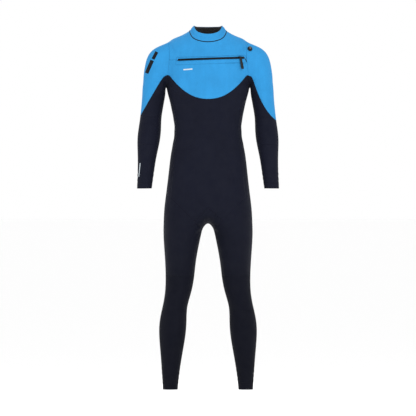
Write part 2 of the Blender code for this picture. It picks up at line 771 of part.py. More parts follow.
def make_zip_tapes(coll):
    """Woven tapes behind the surround that carry the two rows of teeth."""
    alongs = spaced(SLOT[0] - 0.003, SLOT[1] + 0.003, 0.020)
    mat = material("black_tape", (0.004, 0.004, 0.006), 0.6)
    for name, ups in (("zip_tape_upper", (0.0003, 0.0090)), ("zip_tape_lower", (-0.0150, -0.0003))):
        mesh = zip_plate(name, alongs, ups, lambda i, j: True, -0.0036, -0.0046)
        add_object(name, mesh, coll, mat)


def make_teeth(coll):
    """Two interlocking rows of moulded teeth, a hair apart."""
    start, count = TEETH
    gap, reach, root, edge = TEETH_SIZES
    mat = material("black_plastic", (0.005, 0.005, 0.006), 0.35)
    alongs = []
    for pitch in range(count):
        first = start + pitch * TOOTH_PITCH
        alongs += [first, first + TOOTH_PITCH / 2 - gap]
        alongs += [first + TOOTH_PITCH / 2, first + TOOTH_PITCH - gap]
    upper = zip_plate("zip_teeth_upper", alongs, (-reach, root, edge),
                      lambda i, j: j == 1 or i % 4 == 0, *TEETH_OUT)
    lower = zip_plate("zip_teeth_lower", alongs, (-edge, -root, reach),
                      lambda i, j: j == 0 or i % 4 == 2, *TEETH_OUT)
    add_object("zip_teeth_upper", upper, coll, mat)
    add_object("zip_teeth_lower", lower, coll, mat)


def make_end_stops(coll):
    mat = material("black_plastic", (0.005, 0.005, 0.006), 0.35)
    after_teeth = TEETH[0] + TEETH[1] * TOOTH_PITCH
    stops = {"zip_stop_open_end": (SLOT[0] + 0.0008, TEETH[0] - 0.0006),
             "zip_stop_closed_end": (after_teeth + 0.0006, SLOT[1] - 0.0008)}
    for name, (start, end) in stops.items():
        mesh = zip_plate(name, (start, end), (-0.0045, 0.0045), lambda i, j: True, 0.0016, -0.0032)
        add_object(name, mesh, coll, mat)


def prism(name, outline, half_length):
    """An outline in Y and Z, drawn out along X."""
    rings = [[(x, y, z) for y, z in outline] for x in (-half_length, half_length)]
    return loft(name, rings)


def box(name, low, high):
    outline = [(low[1], low[2]), (high[1], low[2]), (high[1], high[2]), (low[1], high[2])]
    return loft(name, [[(x, y, z) for y, z in outline] for x in (low[0], high[0])])


def add_boolean(obj, tool, operation):
    tool.hide_render = True
    tool.display_type = "WIRE"
    tool.parent = obj
    modifier = obj.modifiers.new(operation.lower(), "BOOLEAN")
    modifier.object = tool
    modifier.operation = operation


def cylinder_along_x(name, radius, half_length, centre, sides=16):
    rings = []
    for x in (-half_length, half_length):
        angles = [math.tau * i / sides for i in range(sides)]
        rings.append([(x, centre[0] + radius * math.cos(a), centre[1] + radius * math.sin(a))
                      for a in angles])
    return loft(name, rings)


def make_slider(coll, cutters):
    """A saddle that straddles the teeth, with two ears for the pull tab's pin."""
    mat = material("black_metal", (0.01, 0.01, 0.011), 0.4, 0.6)
    outline = [(-0.0056, -0.0010), (-0.0038, -0.0010), (-0.0038, 0.0016), (0.0038, 0.0016),
               (0.0038, -0.0010), (0.0056, -0.0010), (0.0056, 0.0030), (0.0046, 0.0039),
               (-0.0046, 0.0039), (-0.0056, 0.0030)]
    slider = add_object("zip_slider", prism("zip_slider", outline, 0.0085), coll, mat)
    slider.matrix_world = zip_frame(SLIDER_ARC)
    for number, side in enumerate((-1, 1)):
        faces = sorted((side * EAR[0], side * EAR[1]))
        ear = box(f"ear_{number}", (faces[0], -0.0034, 0.0035), (faces[1], 0.0014, 0.0080))
        add_boolean(slider, add_object(f"ear_{number}", ear, cutters, mat), "UNION")
    bore = cylinder_along_x("pin_bore", 0.0013, 0.012, PIN)
    add_boolean(slider, add_object("pin_bore", bore, cutters, mat), "DIFFERENCE")


def make_pull_tab(coll, cutters):
    """A moulded tab on its pin, hanging down the chest from the slider."""
    mat = material("pull_rubber", (0.02, 0.021, 0.018), 0.5)
    half, thick = 0.0055, 0.0010
    top, bottom = 0.0010, -PULL_LENGTH
    corner = 0.0035
    outline = [(-half, top), (-half, bottom + corner), (-half + corner, bottom),
               (half - corner, bottom), (half, bottom + corner), (half, top)]
    rings = [[(x, PIN[0] + y, PIN[1] + z) for x, y in outline] for z in (-thick, thick)]
    tab = add_object("pull_tab", loft("pull_tab", rings), coll, mat)
    pin = cylinder_along_x("pull_pin", 0.0010, EAR[1] + 0.0003, PIN, 12)
    add_boolean(tab, add_object("pull_pin", pin, cutters, mat), "UNION")
    tab.matrix_world = zip_frame(SLIDER_ARC)


# ---- the cord lock on the left shoulder


def skin_frame(bm, x, z, lift):
    """Matrix on the front of the skin at x, z: Z out of the skin, Y up along it."""
    tree = BVHTree.FromBMesh(bm)
    place, normal, _, _ = tree.ray_cast(Vector((x, -1, z)), Vector((0, 1, 0)))
    x_axis = Vector((0, 0, 1)).cross(normal).normalized()
    y_axis = normal.cross(x_axis)
    matrix = Matrix((x_axis, y_axis, normal)).transposed().to_4x4()
    matrix.translation = place + normal * lift
    return matrix @ Matrix.Rotation(math.radians(-15), 4, "Z") @ Matrix.Diagonal((0.85, 1, 1, 1))


def turned(name, profile, matrix, coll, mat, steps=20):
    """A solid turned about Z from (radius, height) points, outer side first, top to bottom."""
    mesh = bpy.data.meshes.new(name)
    points = [(radius, 0, height) for radius, height in profile]
    mesh.from_pydata(points, [(i, i + 1) for i in range(len(points) - 1)], [])
    obj = add_object(name, mesh, coll, mat)
    screw = obj.modifiers.new("turn", "SCREW")
    screw.axis = "Z"
    screw.steps = screw.render_steps = steps
    screw.use_merge_vertices = True
    screw.merge_threshold = 0.00001
    obj.matrix_world = matrix
    return obj


def make_cord_lock(bm, coll):
    """Spring-loaded lock for the collar's drawcord: housing, button and spring."""
    frame = skin_frame(bm, CORD_LOCK[0], CORD_LOCK[1], 0.0014)
    dark = material("black_plastic", (0.005, 0.005, 0.006), 0.35)
    housing = [(0, 0.0010), (0.0052, 0.0010), (0.0052, 0.0060), (0.0085, 0.0060),
               (0.0112, 0.0042), (0.0120, 0.0020), (0.0120, 0), (0, 0)]
    turned("cord_lock_housing", housing, frame, coll, dark)
    button = [(0, 0.0085), (0.0036, 0.0085), (0.0046, 0.0075), (0.0046, 0.0040), (0, 0.0040)]
    turned("cord_lock_button", button, frame, coll, material("button_grey", (0.12, 0.1, 0.09), 0.5))
    make_lock_spring(frame, coll)


def make_lock_spring(frame, coll):
    curve = bpy.data.curves.new("cord_lock_spring", "CURVE")
    curve.dimensions = "3D"
    curve.bevel_depth = 0.00025
    curve.bevel_resolution = 1
    curve.use_fill_caps = True
    turns, per_turn, radius, low, high = 3, 8, 0.0030, 0.00135, 0.00365
    spline = curve.splines.new("POLY")
    spline.points.add(turns * per_turn)
    for step in range(turns * per_turn + 1):
        angle = math.tau * step / per_turn
        height = low + (high - low) * step / (turns * per_turn)
        spline.points[step].co = (radius * math.cos(angle), radius * math.sin(angle), height, 1)
    steel = material("spring_steel", (0.5, 0.5, 0.5), 0.3, 1)
    spring = add_object("cord_lock_spring", curve, coll, steel)
    spring.matrix_world = frame


def main():
    clear_scene()
    suit = make_collection("wetsuit")
    cutters = make_collection("cutters")
    bm, names = smooth_skin(CAGE_LEVELS)
    region = {name: {names.index(name)} for name in names}
    whole = bm.copy()
    join_rows(bm)
    cut_torso(bm, region["torso"])
    cut_limbs(bm, region["torso"], region["arm"], region["leg"])
    bm.normal_update()
    bm.verts.index_update()
    panels = make_panels(bm, names, suit)
    make_neck_piping(panels, suit)
    make_zip_surround(suit)
    make_zip_tapes(suit)
    make_teeth(suit)
    make_end_stops(suit)
    make_slider(suit, cutters)
    make_pull_tab(suit, cutters)
    make_cord_lock(whole, suit)


main()
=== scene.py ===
"""Looks of the full-length wetsuit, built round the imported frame.

The outer skin is the frame's own: one coarse cage of rows and rings, smoothed by subdivision,
here fine enough for the fabric's folds. Seam lines are snapped and cut into it, and each region
between seams becomes one panel piece with a jersey face, a lining, sunk seam edges and stitches.
+X is the wearer's left, -Y the front, +Z up. Units are metres.
"""

import json
import math

import bmesh
import bpy
import numpy as np
from mathutils import Matrix, Vector
from mathutils.bvhtree import BVHTree


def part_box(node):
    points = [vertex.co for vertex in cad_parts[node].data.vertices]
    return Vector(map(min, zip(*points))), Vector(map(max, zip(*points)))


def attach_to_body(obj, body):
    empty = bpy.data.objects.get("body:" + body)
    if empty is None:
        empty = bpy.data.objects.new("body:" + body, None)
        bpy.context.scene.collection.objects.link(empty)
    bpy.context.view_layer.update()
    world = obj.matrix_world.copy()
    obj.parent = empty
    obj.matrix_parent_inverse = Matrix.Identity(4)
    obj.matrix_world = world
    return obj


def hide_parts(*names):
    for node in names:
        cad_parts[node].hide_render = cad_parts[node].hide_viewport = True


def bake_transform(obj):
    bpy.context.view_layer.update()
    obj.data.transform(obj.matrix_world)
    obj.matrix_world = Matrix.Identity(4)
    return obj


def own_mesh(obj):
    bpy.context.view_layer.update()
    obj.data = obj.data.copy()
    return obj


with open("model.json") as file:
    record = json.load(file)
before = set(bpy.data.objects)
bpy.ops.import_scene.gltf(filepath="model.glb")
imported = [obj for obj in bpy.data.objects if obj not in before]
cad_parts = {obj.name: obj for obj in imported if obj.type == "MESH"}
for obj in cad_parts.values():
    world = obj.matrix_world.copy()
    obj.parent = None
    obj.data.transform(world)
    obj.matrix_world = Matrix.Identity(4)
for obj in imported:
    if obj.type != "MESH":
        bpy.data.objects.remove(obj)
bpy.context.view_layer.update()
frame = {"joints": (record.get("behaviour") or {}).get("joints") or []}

NEOPRENE = 0.0030  # thickness of the suit's skin
SKIN_LEVELS = 4  # subdivisions of the cage
SNAP = 0.32  # a vertex this near a seam line, in edge lengths, moves onto it
ON_LINE = 0.0005  # a fixed vertex this near a seam line counts as on it
SEAM_ROLL = 0.0013  # width of the rolled edge beside a seam
SEAM_SINK = 0.0006  # how far the rolled edge sinks into the seam
SEAM_GAP = 0.00012
STITCH_PITCH = 0.0032
STITCH_LENGTH = 0.0034
STITCH_THICK = 0.00042
LOCKSTITCH_LENGTH = 0.0024
HEM_STITCH_LENGTH = 0.0022
HEM_STITCH_RISE = 0.0065  # of the stitches over the cut edge


# Torso rows, crotch to collar: front centre (y, z), side (x, y, z), back centre (y, z), and how
# the row's height runs from the centre to the side (1 is a tilted plane, 2 a softer dish).
TORSO_ROWS = [
    ((-0.082, 0.690), (0.1770, 0.000, 0.672), (0.099, 0.692), 2),  # leg tops
    ((-0.100, 0.735), (0.1745, 0.003, 0.722), (0.114, 0.742), 2),  # seat
    ((-0.103, 0.790), (0.1670, 0.004, 0.788), (0.113, 0.795), 2),  # hips
    ((-0.101, 0.868), (0.1575, 0.000, 0.868), (0.093, 0.870), 2),  # belly
    ((-0.100, 0.952), (0.1465, -0.005, 0.952), (0.075, 0.952), 2),
    ((-0.099, 1.036), (0.1337, -0.009, 1.036), (0.069, 1.036), 2),  # waist
    ((-0.105, 1.108), (0.1437, -0.006, 1.112), (0.083, 1.112), 2),  # ribs
    ((-0.112, 1.156), (0.1565, -0.002, 1.166), (0.096, 1.164), 2),
    ((-0.117, 1.196), (0.1660, 0.006, 1.206), (0.106, 1.208), 2),  # armpits
    ((-0.091, 1.335), (0.1530, 0.006, 1.3925), (0.094, 1.371), 1.5),  # shoulder tops
    ((-0.078, 1.364), (0.1120, 0.010, 1.4135), (0.084, 1.402), 1.2),
    ((-0.066, 1.389), (0.0740, 0.012, 1.4345), (0.074, 1.428), 1),  # neck seam
    ((-0.056, 1.405), (0.0655, 0.013, 1.4445), (0.069, 1.441), 1),
    ((-0.046, 1.421), (0.0556, 0.014, 1.4545), (0.063, 1.452), 1),  # collar edge
]
ARMPIT_ROW = 8
NECK_ROW = 11
# The three rows beside each armhole: front centre (y, z), front and back points of the
# armhole (x, y, z), back centre (y, z).
ARMHOLE_ROWS = [
    ((-0.119, 1.230), (0.163, -0.040, 1.236), (0.164, 0.052, 1.240), (0.112, 1.250)),
    ((-0.114, 1.264), (0.158, -0.058, 1.288), (0.160, 0.069, 1.292), (0.113, 1.292)),
    ((-0.104, 1.299), (0.154, -0.046, 1.345), (0.156, 0.056, 1.348), (0.106, 1.333)),
]
COLUMNS = 6  # columns of each row from front centre to back centre
SQUARENESS = 0.90  # exponent of the rows' rounded outline (1 is an ellipse)
HOLE_FRACTIONS = (0.40, 0.76)  # columns 1 and 2 beside the armhole, as a part of its x
# How much fuller than the plain outline the lowest row is, by column.
LEG_TOP_FULLNESS = {1: 1.28, 2: 1.40, 4: 1.24, 5: 1.13}

# Sleeve rings, shoulder to wrist: inner (x, z), outer (x, z), centre y, half depth.
ARM_RINGS = [
    ((0.1705, 1.186), (0.2050, 1.368), 0.008, 0.0600),
    ((0.1755, 1.158), (0.2410, 1.331), 0.009, 0.0570),
    ((0.1805, 1.128), (0.2570, 1.262), 0.011, 0.0535),
    ((0.1865, 1.085), (0.2635, 1.180), 0.013, 0.0500),
    ((0.1885, 1.040), (0.2720, 1.085), 0.013, 0.0470),
    ((0.1940, 0.990), (0.2815, 1.010), 0.007, 0.0440),
    ((0.2060, 0.930), (0.2810, 0.940), -0.007, 0.0400),
    ((0.2155, 0.868), (0.2812, 0.872), -0.021, 0.0350),
    ((0.2245, 0.804), (0.2836, 0.804), -0.035, 0.0305),
]
# Leg rings, crotch to ankle: z, inner x, outer x, front y, back y.
LEG_RINGS = [
    (0.636, 0.0230, 0.1780, -0.092, 0.092),
    (0.585, 0.0350, 0.1765, -0.090, 0.080),
    (0.515, 0.0478, 0.1720, -0.084, 0.066),
    (0.445, 0.0565, 0.1695, -0.077, 0.056),
    (0.385, 0.0688, 0.1720, -0.070, 0.048),
    (0.330, 0.0830, 0.1815, -0.060, 0.055),
    (0.275, 0.0860, 0.1925, -0.052, 0.066),
    (0.215, 0.0905, 0.1950, -0.045, 0.068),
    (0.140, 0.1030, 0.1898, -0.037, 0.058),
    (0.065, 0.1148, 0.1843, -0.031, 0.048),
    (0.000, 0.1216, 0.1800, -0.029, 0.045),
]
CROTCH = (0.0, 0.006, 0.663)
BODY_SHIFT_Y = 0.0025  # moves the whole suit so that its box is centred on the origin

# Zones where fabric bends at a joint. A slanted zone is measured along its own direction.
HIP_ZONE = ((math.sqrt(0.5), -math.sqrt(0.5)), (0.0, 0.618), 0.140)
ELBOW_Z = (1.090, 0.980)
KNEE_Z = (0.455, 0.315)
CUFF_Z = 0.826
ANKLE_CUFF_Z = 0.030

# Seam curves. A torso seam rises from its height at the middle by its rise at the given x.
CHEST_SEAM = (1.160, 0.100, 0.157, 2.2)  # middle z, rise, x, exponent
CHEST_SEAM_TOP = (1.256, 0.004)  # z it levels off at beside the armhole, softness
YOKE_SEAM = (1.222, 0.036, 0.160, 2)
LEFT_SLEEVE_SEAM = (1.030, 0.226, 0.176, 0.006, 0.0608)  # low z, rise, start x, softness, decay
RIGHT_SLEEVE_SEAM = (1.260, 1.72, 0.175, 0.012)  # high z, slope, start x, softness
SIDE_PANEL_FRONT_Y = (-0.050, -0.028)  # below and above the side panel's narrowing
SIDE_PANEL_BACK_Y = (0.054, 0.036)
SIDE_PANEL_NARROWS = (1.05, 1.22)
GUSSET_TOP_Z = 0.728
GUSSET_HALF_WIDTH = 0.090
GUSSET_CUT_TOP_Z = 0.760  # the gusset's lines are cut below this
LEG_SEAM_Y = 0.003
SHOULDER_SEAM_Y = 0.010
SHOULDER_SEAM_Z = 1.34  # the shoulder seam runs above this
BLUE_FLOOR_Z = 1.13  # the chest and yoke seams lie above this
HIP_CEILING_Z = 0.86  # the legs' seams lie below this

# The chest zip lies on a shallow cone: an arc of this radius about a nearly upright axis,
# leaning back by ZIP_LEAN and rising towards +X by ZIP_RISE.
ZIP_RADIUS = 0.300
ZIP_CENTRE = (0.0, 0.204, 1.3205)
ZIP_LEAN = math.radians(19)
ZIP_RISE = math.radians(1.95)
ZIP_WINDOW = (-0.130, 0.160, -0.022, 0.010)  # arc start, arc end, lower, upper edge
SLOT = (-0.1240, 0.1520, 0.0062)  # arc start, arc end, half height
TOOTH_PITCH = 0.020
TEETH = (-0.118, 13)  # arc start, number of pitches
SLIDER_ARC = 0.1320


# ---- the cage of the outer skin


def row_point(row, column):
    """A point of a torso row: column 0 is front centre, 3 the side, 6 back centre."""
    (front_y, front_z), (side_x, side_y, side_z), (back_y, back_z), dish = row
    angle = math.pi * column / COLUMNS
    across = math.sin(angle) ** SQUARENESS if 0 < column < COLUMNS else 0.0
    along = abs(math.cos(angle))
    centre_y, centre_z = (front_y, front_z) if column <= COLUMNS / 2 else (back_y, back_z)
    if column == COLUMNS / 2:
        along = 0.0
    y = side_y + (centre_y - side_y) * along ** SQUARENESS
    z = side_z + (centre_z - side_z) * along ** dish
    return (side_x * across, y, z)


def arc_point(centre, hole, fraction):
    """A point on the level arc from a centre line point to an armhole point."""
    centre_y, centre_z = centre
    depth = abs(hole[1] - centre_y)
    radius = (hole[0] ** 2 + depth ** 2) / (2 * depth)
    x = hole[0] * fraction
    drop = radius - math.sqrt(radius ** 2 - x ** 2)
    y = centre_y + math.copysign(drop, hole[1] - centre_y)
    z = centre_z + (hole[2] - centre_z) * fraction ** 2
    return (x, y, z)


def torso_points():
    """Right half of the torso cage, as a dictionary from (row, column) to a point."""
    points = {}
    for index, row in enumerate(TORSO_ROWS):
        name = index if index <= ARMPIT_ROW else index + len(ARMHOLE_ROWS)
        for column in range(COLUMNS + 1):
            points[name, column] = row_point(row, column)
    for column, fullness in LEG_TOP_FULLNESS.items():
        x, y, z = points[0, column]
        points[0, column] = (x, y * fullness, z)
    for step, (front, hole_front, hole_back, back) in enumerate(ARMHOLE_ROWS):
        name = ARMPIT_ROW + 1 + step
        points[name, 0] = (0.0, *front)
        points[name, COLUMNS] = (0.0, *back)
        points[name, "front"] = hole_front
        points[name, "back"] = hole_back
        for column, fraction in enumerate(HOLE_FRACTIONS, 1):
            points[name, column] = arc_point(front, hole_front, fraction)
            points[name, COLUMNS - column] = arc_point(back, hole_back, fraction)
    return points


def arm_point(ring, index):
    (inner_x, inner_z), (outer_x, outer_z), centre_y, half_depth = ring
    angle = math.tau * index / 8
    mix = 0.5 - 0.5 * math.cos(angle)
    x = inner_x + (outer_x - inner_x) * mix
    z = inner_z + (outer_z - inner_z) * mix
    return (x, centre_y - half_depth * math.sin(angle), z)


def leg_point(ring, index):
    z, inner_x, outer_x, front_y, back_y = ring
    angle = math.radians(45 * index - 135)
    x = (inner_x + outer_x) / 2 + (outer_x - inner_x) / 2 * math.cos(angle)
    y = (front_y + back_y) / 2 + (back_y - front_y) / 2 * math.sin(angle)
    return (x, y, z)


def torso_faces():
    """Quads of the right half of the torso, as (corner names, region)."""
    faces = []
    first_hole = ARMPIT_ROW + 1
    last_hole = ARMPIT_ROW + len(ARMHOLE_ROWS)
    last_row = len(TORSO_ROWS) + len(ARMHOLE_ROWS) - 1
    neck = NECK_ROW + len(ARMHOLE_ROWS)
    for row in range(last_row):
        region = "collar" if row >= neck else "torso"
        for column in range(COLUMNS):
            beside = column in (2, 3) and ARMPIT_ROW <= row <= last_hole
            corners = [(row, column), (row, column + 1), (row + 1, column + 1), (row + 1, column)]
            if beside:
                side = "front" if column == 2 else "back"
                for place, (corner_row, corner_column) in enumerate(corners):
                    if corner_column == 3 and first_hole <= corner_row <= last_hole:
                        corners[place] = (corner_row, side)
            faces.append((corners, region))
    return faces


def armhole_loop():
    rows = range(ARMPIT_ROW + 1, ARMPIT_ROW + 1 + len(ARMHOLE_ROWS))
    loop = [(ARMPIT_ROW, 3)]
    loop += [(row, "front") for row in rows]
    loop.append((ARMPIT_ROW + 1 + len(ARMHOLE_ROWS), 3))
    loop += [(row, "back") for row in reversed(rows)]
    return loop


def half_cage():
    """Named points and quads of the wearer's left half."""
    points = torso_points()
    faces = torso_faces()
    points["crotch"] = CROTCH
    leg_top = [(0, column) for column in range(COLUMNS + 1)] + ["crotch"]
    for region, rings, point_of, previous in (("arm", ARM_RINGS, arm_point, armhole_loop()),
                                              ("leg", LEG_RINGS, leg_point, leg_top)):
        for number, ring in enumerate(rings):
            names = [(region, number, index) for index in range(8)]
            points.update({name: point_of(ring, name[2]) for name in names})
            for index in range(8):
                after = (index + 1) % 8
                corners = [names[index], names[after], previous[after], previous[index]]
                faces.append((corners, region))
            previous = names
    return points, faces


def full_cage():
    """Vertex positions, quads, regions and torso rows of both halves."""
    points, faces = half_cage()
    positions, rows, numbers = [], [], {}
    for side in (1, -1):
        for name, (x, y, z) in points.items():
            if side == -1 and abs(x) < 1e-9:
                numbers[side, name] = numbers[1, name]
                continue
            numbers[side, name] = len(positions)
            positions.append((side * x, y + BODY_SHIFT_Y, z))
            rows.append(float(name[0]) if isinstance(name[0], int) else 0.0)
    quads, regions = [], []
    for side in (1, -1):
        for corners, region in faces:
            quad = [numbers[side, corner] for corner in corners]
            quads.append(quad if side == 1 else quad[::-1])
            regions.append(region)
    return np.array(positions), quads, regions, rows


def limit_weights(count, quads):
    """Matrix that takes cage points to their places on the smooth skin."""
    edges = {}
    for quad in quads:
        for place in range(4):
            key = tuple(sorted((quad[place], quad[(place + 1) % 4])))
            edges[key] = edges.get(key, 0) + 1
    neighbours = [set() for _ in range(count)]
    rim = [set() for _ in range(count)]
    for (a, b), uses in edges.items():
        neighbours[a].add(b)
        neighbours[b].add(a)
        if uses == 1:
            rim[a].add(b)
            rim[b].add(a)
    weights = np.zeros((count, count))
    for quad in quads:
        for place in range(4):
            weights[quad[place], quad[(place + 2) % 4]] += 1
    for vertex in range(count):
        if rim[vertex]:
            weights[vertex] = 0
            weights[vertex, vertex] = 4 / 6
            weights[vertex, list(rim[vertex])] = 1 / 6
            continue
        valence = len(neighbours[vertex])
        weights[vertex, list(neighbours[vertex])] += 4
        weights[vertex, vertex] += valence ** 2
        weights[vertex] /= valence * (valence + 5)
    return weights


# ---- seam lines


def ramp(value, softness):
    """Zero below zero and value above, with a soft corner."""
    return (value + np.sqrt(value * value + softness * softness)) / 2


def torso_seam(seam, x):
    middle, rise, at, exponent = seam
    return middle + rise * (np.abs(x) / at) ** exponent


def chest_line(x):
    """Height of the curved seam under the chest panel, level beside the armhole."""
    top, softness = CHEST_SEAM_TOP
    height = torso_seam(CHEST_SEAM, x)
    return height - ramp(height - top, softness)


def yoke_line(x):
    """Height of the seam under the back yoke."""
    return torso_seam(YOKE_SEAM, x)


def sleeve_line(x):
    """Height of the slanted sleeve seam; the left sleeve's runs in a hollower curve."""
    low, rise, start, softness, decay = LEFT_SLEEVE_SEAM
    left = low + rise * np.exp(-ramp(x - start, softness) / decay)
    high, slope, start, softness = RIGHT_SLEEVE_SEAM
    return np.where(x > 0, left, high - slope * ramp(np.abs(x) - start, softness))


def side_edge(ends, z):
    """Y of a side panel's edge, which moves between its two ends where the panel narrows."""
    low, high = SIDE_PANEL_NARROWS
    return ends[0] + (ends[1] - ends[0]) * np.clip((z - low) / (high - low), 0, 1) + BODY_SHIFT_Y


def side_front_y(z):
    return side_edge(SIDE_PANEL_FRONT_Y, z)


def side_back_y(z):
    return side_edge(SIDE_PANEL_BACK_Y, z)


def zone_depth(zone, x, z):
    (dir_x, dir_z), (start_x, start_z), _ = zone
    return dir_x * (np.abs(x) - start_x) + dir_z * (z - start_z)


def gusset_line(x):
    return GUSSET_TOP_Z - np.abs(x)


def zip_place(x, y, z):
    """Arc length along the zip and height up its cone of points near it."""
    dx, dy, dz = x - ZIP_CENTRE[0], y - ZIP_CENTRE[1] - BODY_SHIFT_Y, z - ZIP_CENTRE[2]
    flat_x = dx * math.cos(ZIP_RISE) + dz * math.sin(ZIP_RISE)
    flat_z = dz * math.cos(ZIP_RISE) - dx * math.sin(ZIP_RISE)
    beyond = np.hypot(flat_x, dy) - ZIP_RADIUS
    along = ZIP_RADIUS * np.arctan2(flat_x, -dy)
    return along, flat_z * math.cos(ZIP_LEAN) - beyond * math.sin(ZIP_LEAN)


# ---- the smooth skin and its folds


def link(name, data):
    """An object that shows the data, in the scene."""
    obj = bpy.data.objects.new(name, data)
    bpy.context.scene.collection.objects.link(obj)
    return obj


def skin_mesh(levels):
    """The suit's smooth outer skin as a mesh; row counts torso rows for the collar's ribs."""
    targets, quads, regions, rows = full_cage()
    weights = limit_weights(len(targets), quads)
    cage = np.linalg.solve(weights, targets)
    mesh = bpy.data.meshes.new("cage")
    mesh.from_pydata(cage.tolist(), [], quads)
    mesh.attributes.new("row", "FLOAT", "POINT").data.foreach_set("value", rows)
    names = sorted(set(regions))
    for polygon, region in zip(mesh.polygons, regions):
        polygon.material_index = names.index(region)
    for _ in names:
        mesh.materials.append(None)
    obj = link("cage", mesh)
    subsurf = obj.modifiers.new("smooth", "SUBSURF")
    subsurf.levels = subsurf.render_levels = levels
    bpy.context.view_layer.update()
    depsgraph = bpy.context.evaluated_depsgraph_get()
    smooth = bpy.data.meshes.new_from_object(obj.evaluated_get(depsgraph))
    bpy.data.objects.remove(obj, do_unlink=True)
    return smooth, names


def bell(value, width):
    return np.exp(-(value / width) ** 2)


def fade(value, start, end):
    """0 at start, 1 at end, smooth between."""
    t = np.clip((value - start) / (end - start), 0, 1)
    return t * t * (3 - 2 * t)


def bend_folds(co, centre_x, centre_y, height, side, pitch, depth, reach):
    """Cross folds on the inner side of a bent limb; side is -1 for the front, 1 for the back."""
    x, y, z = co
    across = np.abs(x) - centre_x
    facing = fade(side * (y - centre_y), 0.0, 0.035)
    slant = 0.35 * across + 0.006 * np.sin(40 * across + 3)
    waves = np.sin(math.tau * (z + slant) / pitch)
    broken = 0.6 + 0.4 * np.sin(95 * across + 60 * z)
    return depth * waves * broken * facing * bell(z - height, reach)


def star_folds(co, centre_x, height, count, depth, reach, away):
    """Folds that fan out from a point where limbs meet the torso."""
    x, _, z = co
    dx, dz = np.abs(x) - centre_x, z - height
    far = np.hypot(dx, dz)
    waves = np.sin(count * np.arctan2(dz, dx) + 25 * far)
    return depth * waves * bell(far - away, reach) * fade(far, 0.0, away)


# Folds where a limb bends: centre x and y, height, side, pitch, depth and reach.
ELBOW_FOLDS = ((0.232, 0.012, 1.030, -1, 0.017, 0.00085, 0.042),
               (0.232, 0.012, 1.020, 1, 0.030, 0.0004, 0.060))
KNEE_FOLDS = ((0.120, -0.010, 0.395, 1, 0.021, 0.0010, 0.050),
              (0.120, -0.010, 0.392, -1, 0.034, 0.0004, 0.045))
# Folds that fan out: centre x, height, count, depth, reach and distance of the deepest part.
ARMPIT_STAR = (0.166, 1.206, 9, 0.0011, 0.050, 0.045)
CROTCH_STAR = (0.0, 0.663, 12, 0.0010, 0.050, 0.050)
# Level ripples: height, reach, depth, pitch, slope with y and change of phase with x.
WAIST_RIPPLE = (1.030, 0.055, 0.0006, 0.047)
ANKLE_RIPPLE = (0.055, 0.035, 0.0005, 0.019, 0.1, 9)
WRIST_RIPPLE = (0.850, 0.035, 0.0005, 0.021, 0.2, 9)
SWAY = 0.00035  # depth of the slow unevenness all over
# Where folds fade in or out: distance from the middle, or height.
SLEEVE_STARTS = (0.165, 0.185)
WAIST_RIPPLE_ENDS = (0.150, 0.170)
LEG_FOLDS_START = (0.60, 0.52)
CROTCH_STAR_STARTS = (0.86, 0.72)
COLLAR_RIBS = 6
COLLAR_RIB_HEIGHT = 0.0011


def ripple(co, settings):
    """Shallow level ripples round a hem."""
    x, y, z = co
    middle, reach, depth, pitch, slope, turn = settings
    return depth * bell(z - middle, reach) * np.sin(math.tau * (z + slope * y) / pitch + turn * x)


def waist_ripple(co):
    """Ripples round the waist that rise towards the sides."""
    x, y, z = co
    middle, reach, depth, pitch = WAIST_RIPPLE
    torso = 1 - fade(np.abs(x), *WAIST_RIPPLE_ENDS)
    waves = np.sin(math.tau * z / pitch + 14 * np.abs(x) + 8 * y)
    return depth * bell(z - middle, reach) * torso * waves


def folds(co, row):
    """Height of the fabric's folds over the smooth skin at each vertex."""
    x, y, z = co
    sway = np.sin(9 * x + 2) * np.sin(7 * z + 11 * y) + np.sin(17 * z - 13 * x + 5 * y)
    height = SWAY * sway
    sleeve, leg = fade(np.abs(x), *SLEEVE_STARTS), fade(z, *LEG_FOLDS_START)
    for settings in ELBOW_FOLDS:
        height += sleeve * bend_folds(co, *settings)
    for settings in KNEE_FOLDS:
        height += leg * bend_folds(co, *settings)
    height += star_folds(co, *ARMPIT_STAR)
    height += star_folds(co, *CROTCH_STAR) * fade(z, *CROTCH_STAR_STARTS)
    height += waist_ripple(co) + ripple(co, ANKLE_RIPPLE) + sleeve * ripple(co, WRIST_RIPPLE)
    neck = NECK_ROW + len(ARMHOLE_ROWS)
    collar = np.clip((row - neck) / (len(TORSO_ROWS) - 1 - NECK_ROW), 0, 1)
    return height * (1 - fade(collar, 0.0, 0.2)) + COLLAR_RIB_HEIGHT * rib_profile(collar)


def rib_profile(share):
    """Rounded ribs from 0 to 1 across the collar, flat outside it."""
    inside = (share > 0) & (share < 1)
    return np.where(inside, np.sqrt(np.abs(np.sin(math.pi * COLLAR_RIBS * share))), 0.0)


def folded_skin(levels):
    """The skin with its folds, as a bmesh whose faces carry their region's number."""
    mesh, names = skin_mesh(levels)
    count = len(mesh.vertices)
    co = np.empty(count * 3)
    mesh.vertices.foreach_get("co", co)
    normals = np.empty(count * 3)
    mesh.vertex_normals.foreach_get("vector", normals)
    row = np.empty(count)
    mesh.attributes["row"].data.foreach_get("value", row)
    co, normals = co.reshape(-1, 3), normals.reshape(-1, 3)
    co += normals * folds(co.T, row)[:, None]
    mesh.vertices.foreach_set("co", co.ravel())
    mesh.update()
    bm = bmesh.new()
    bm.from_mesh(mesh)
    bm.normal_update()
    return bm, names


# ---- cutting seam lines


def coordinates(verts):
    return np.array([v.co[:] for v in verts]).T


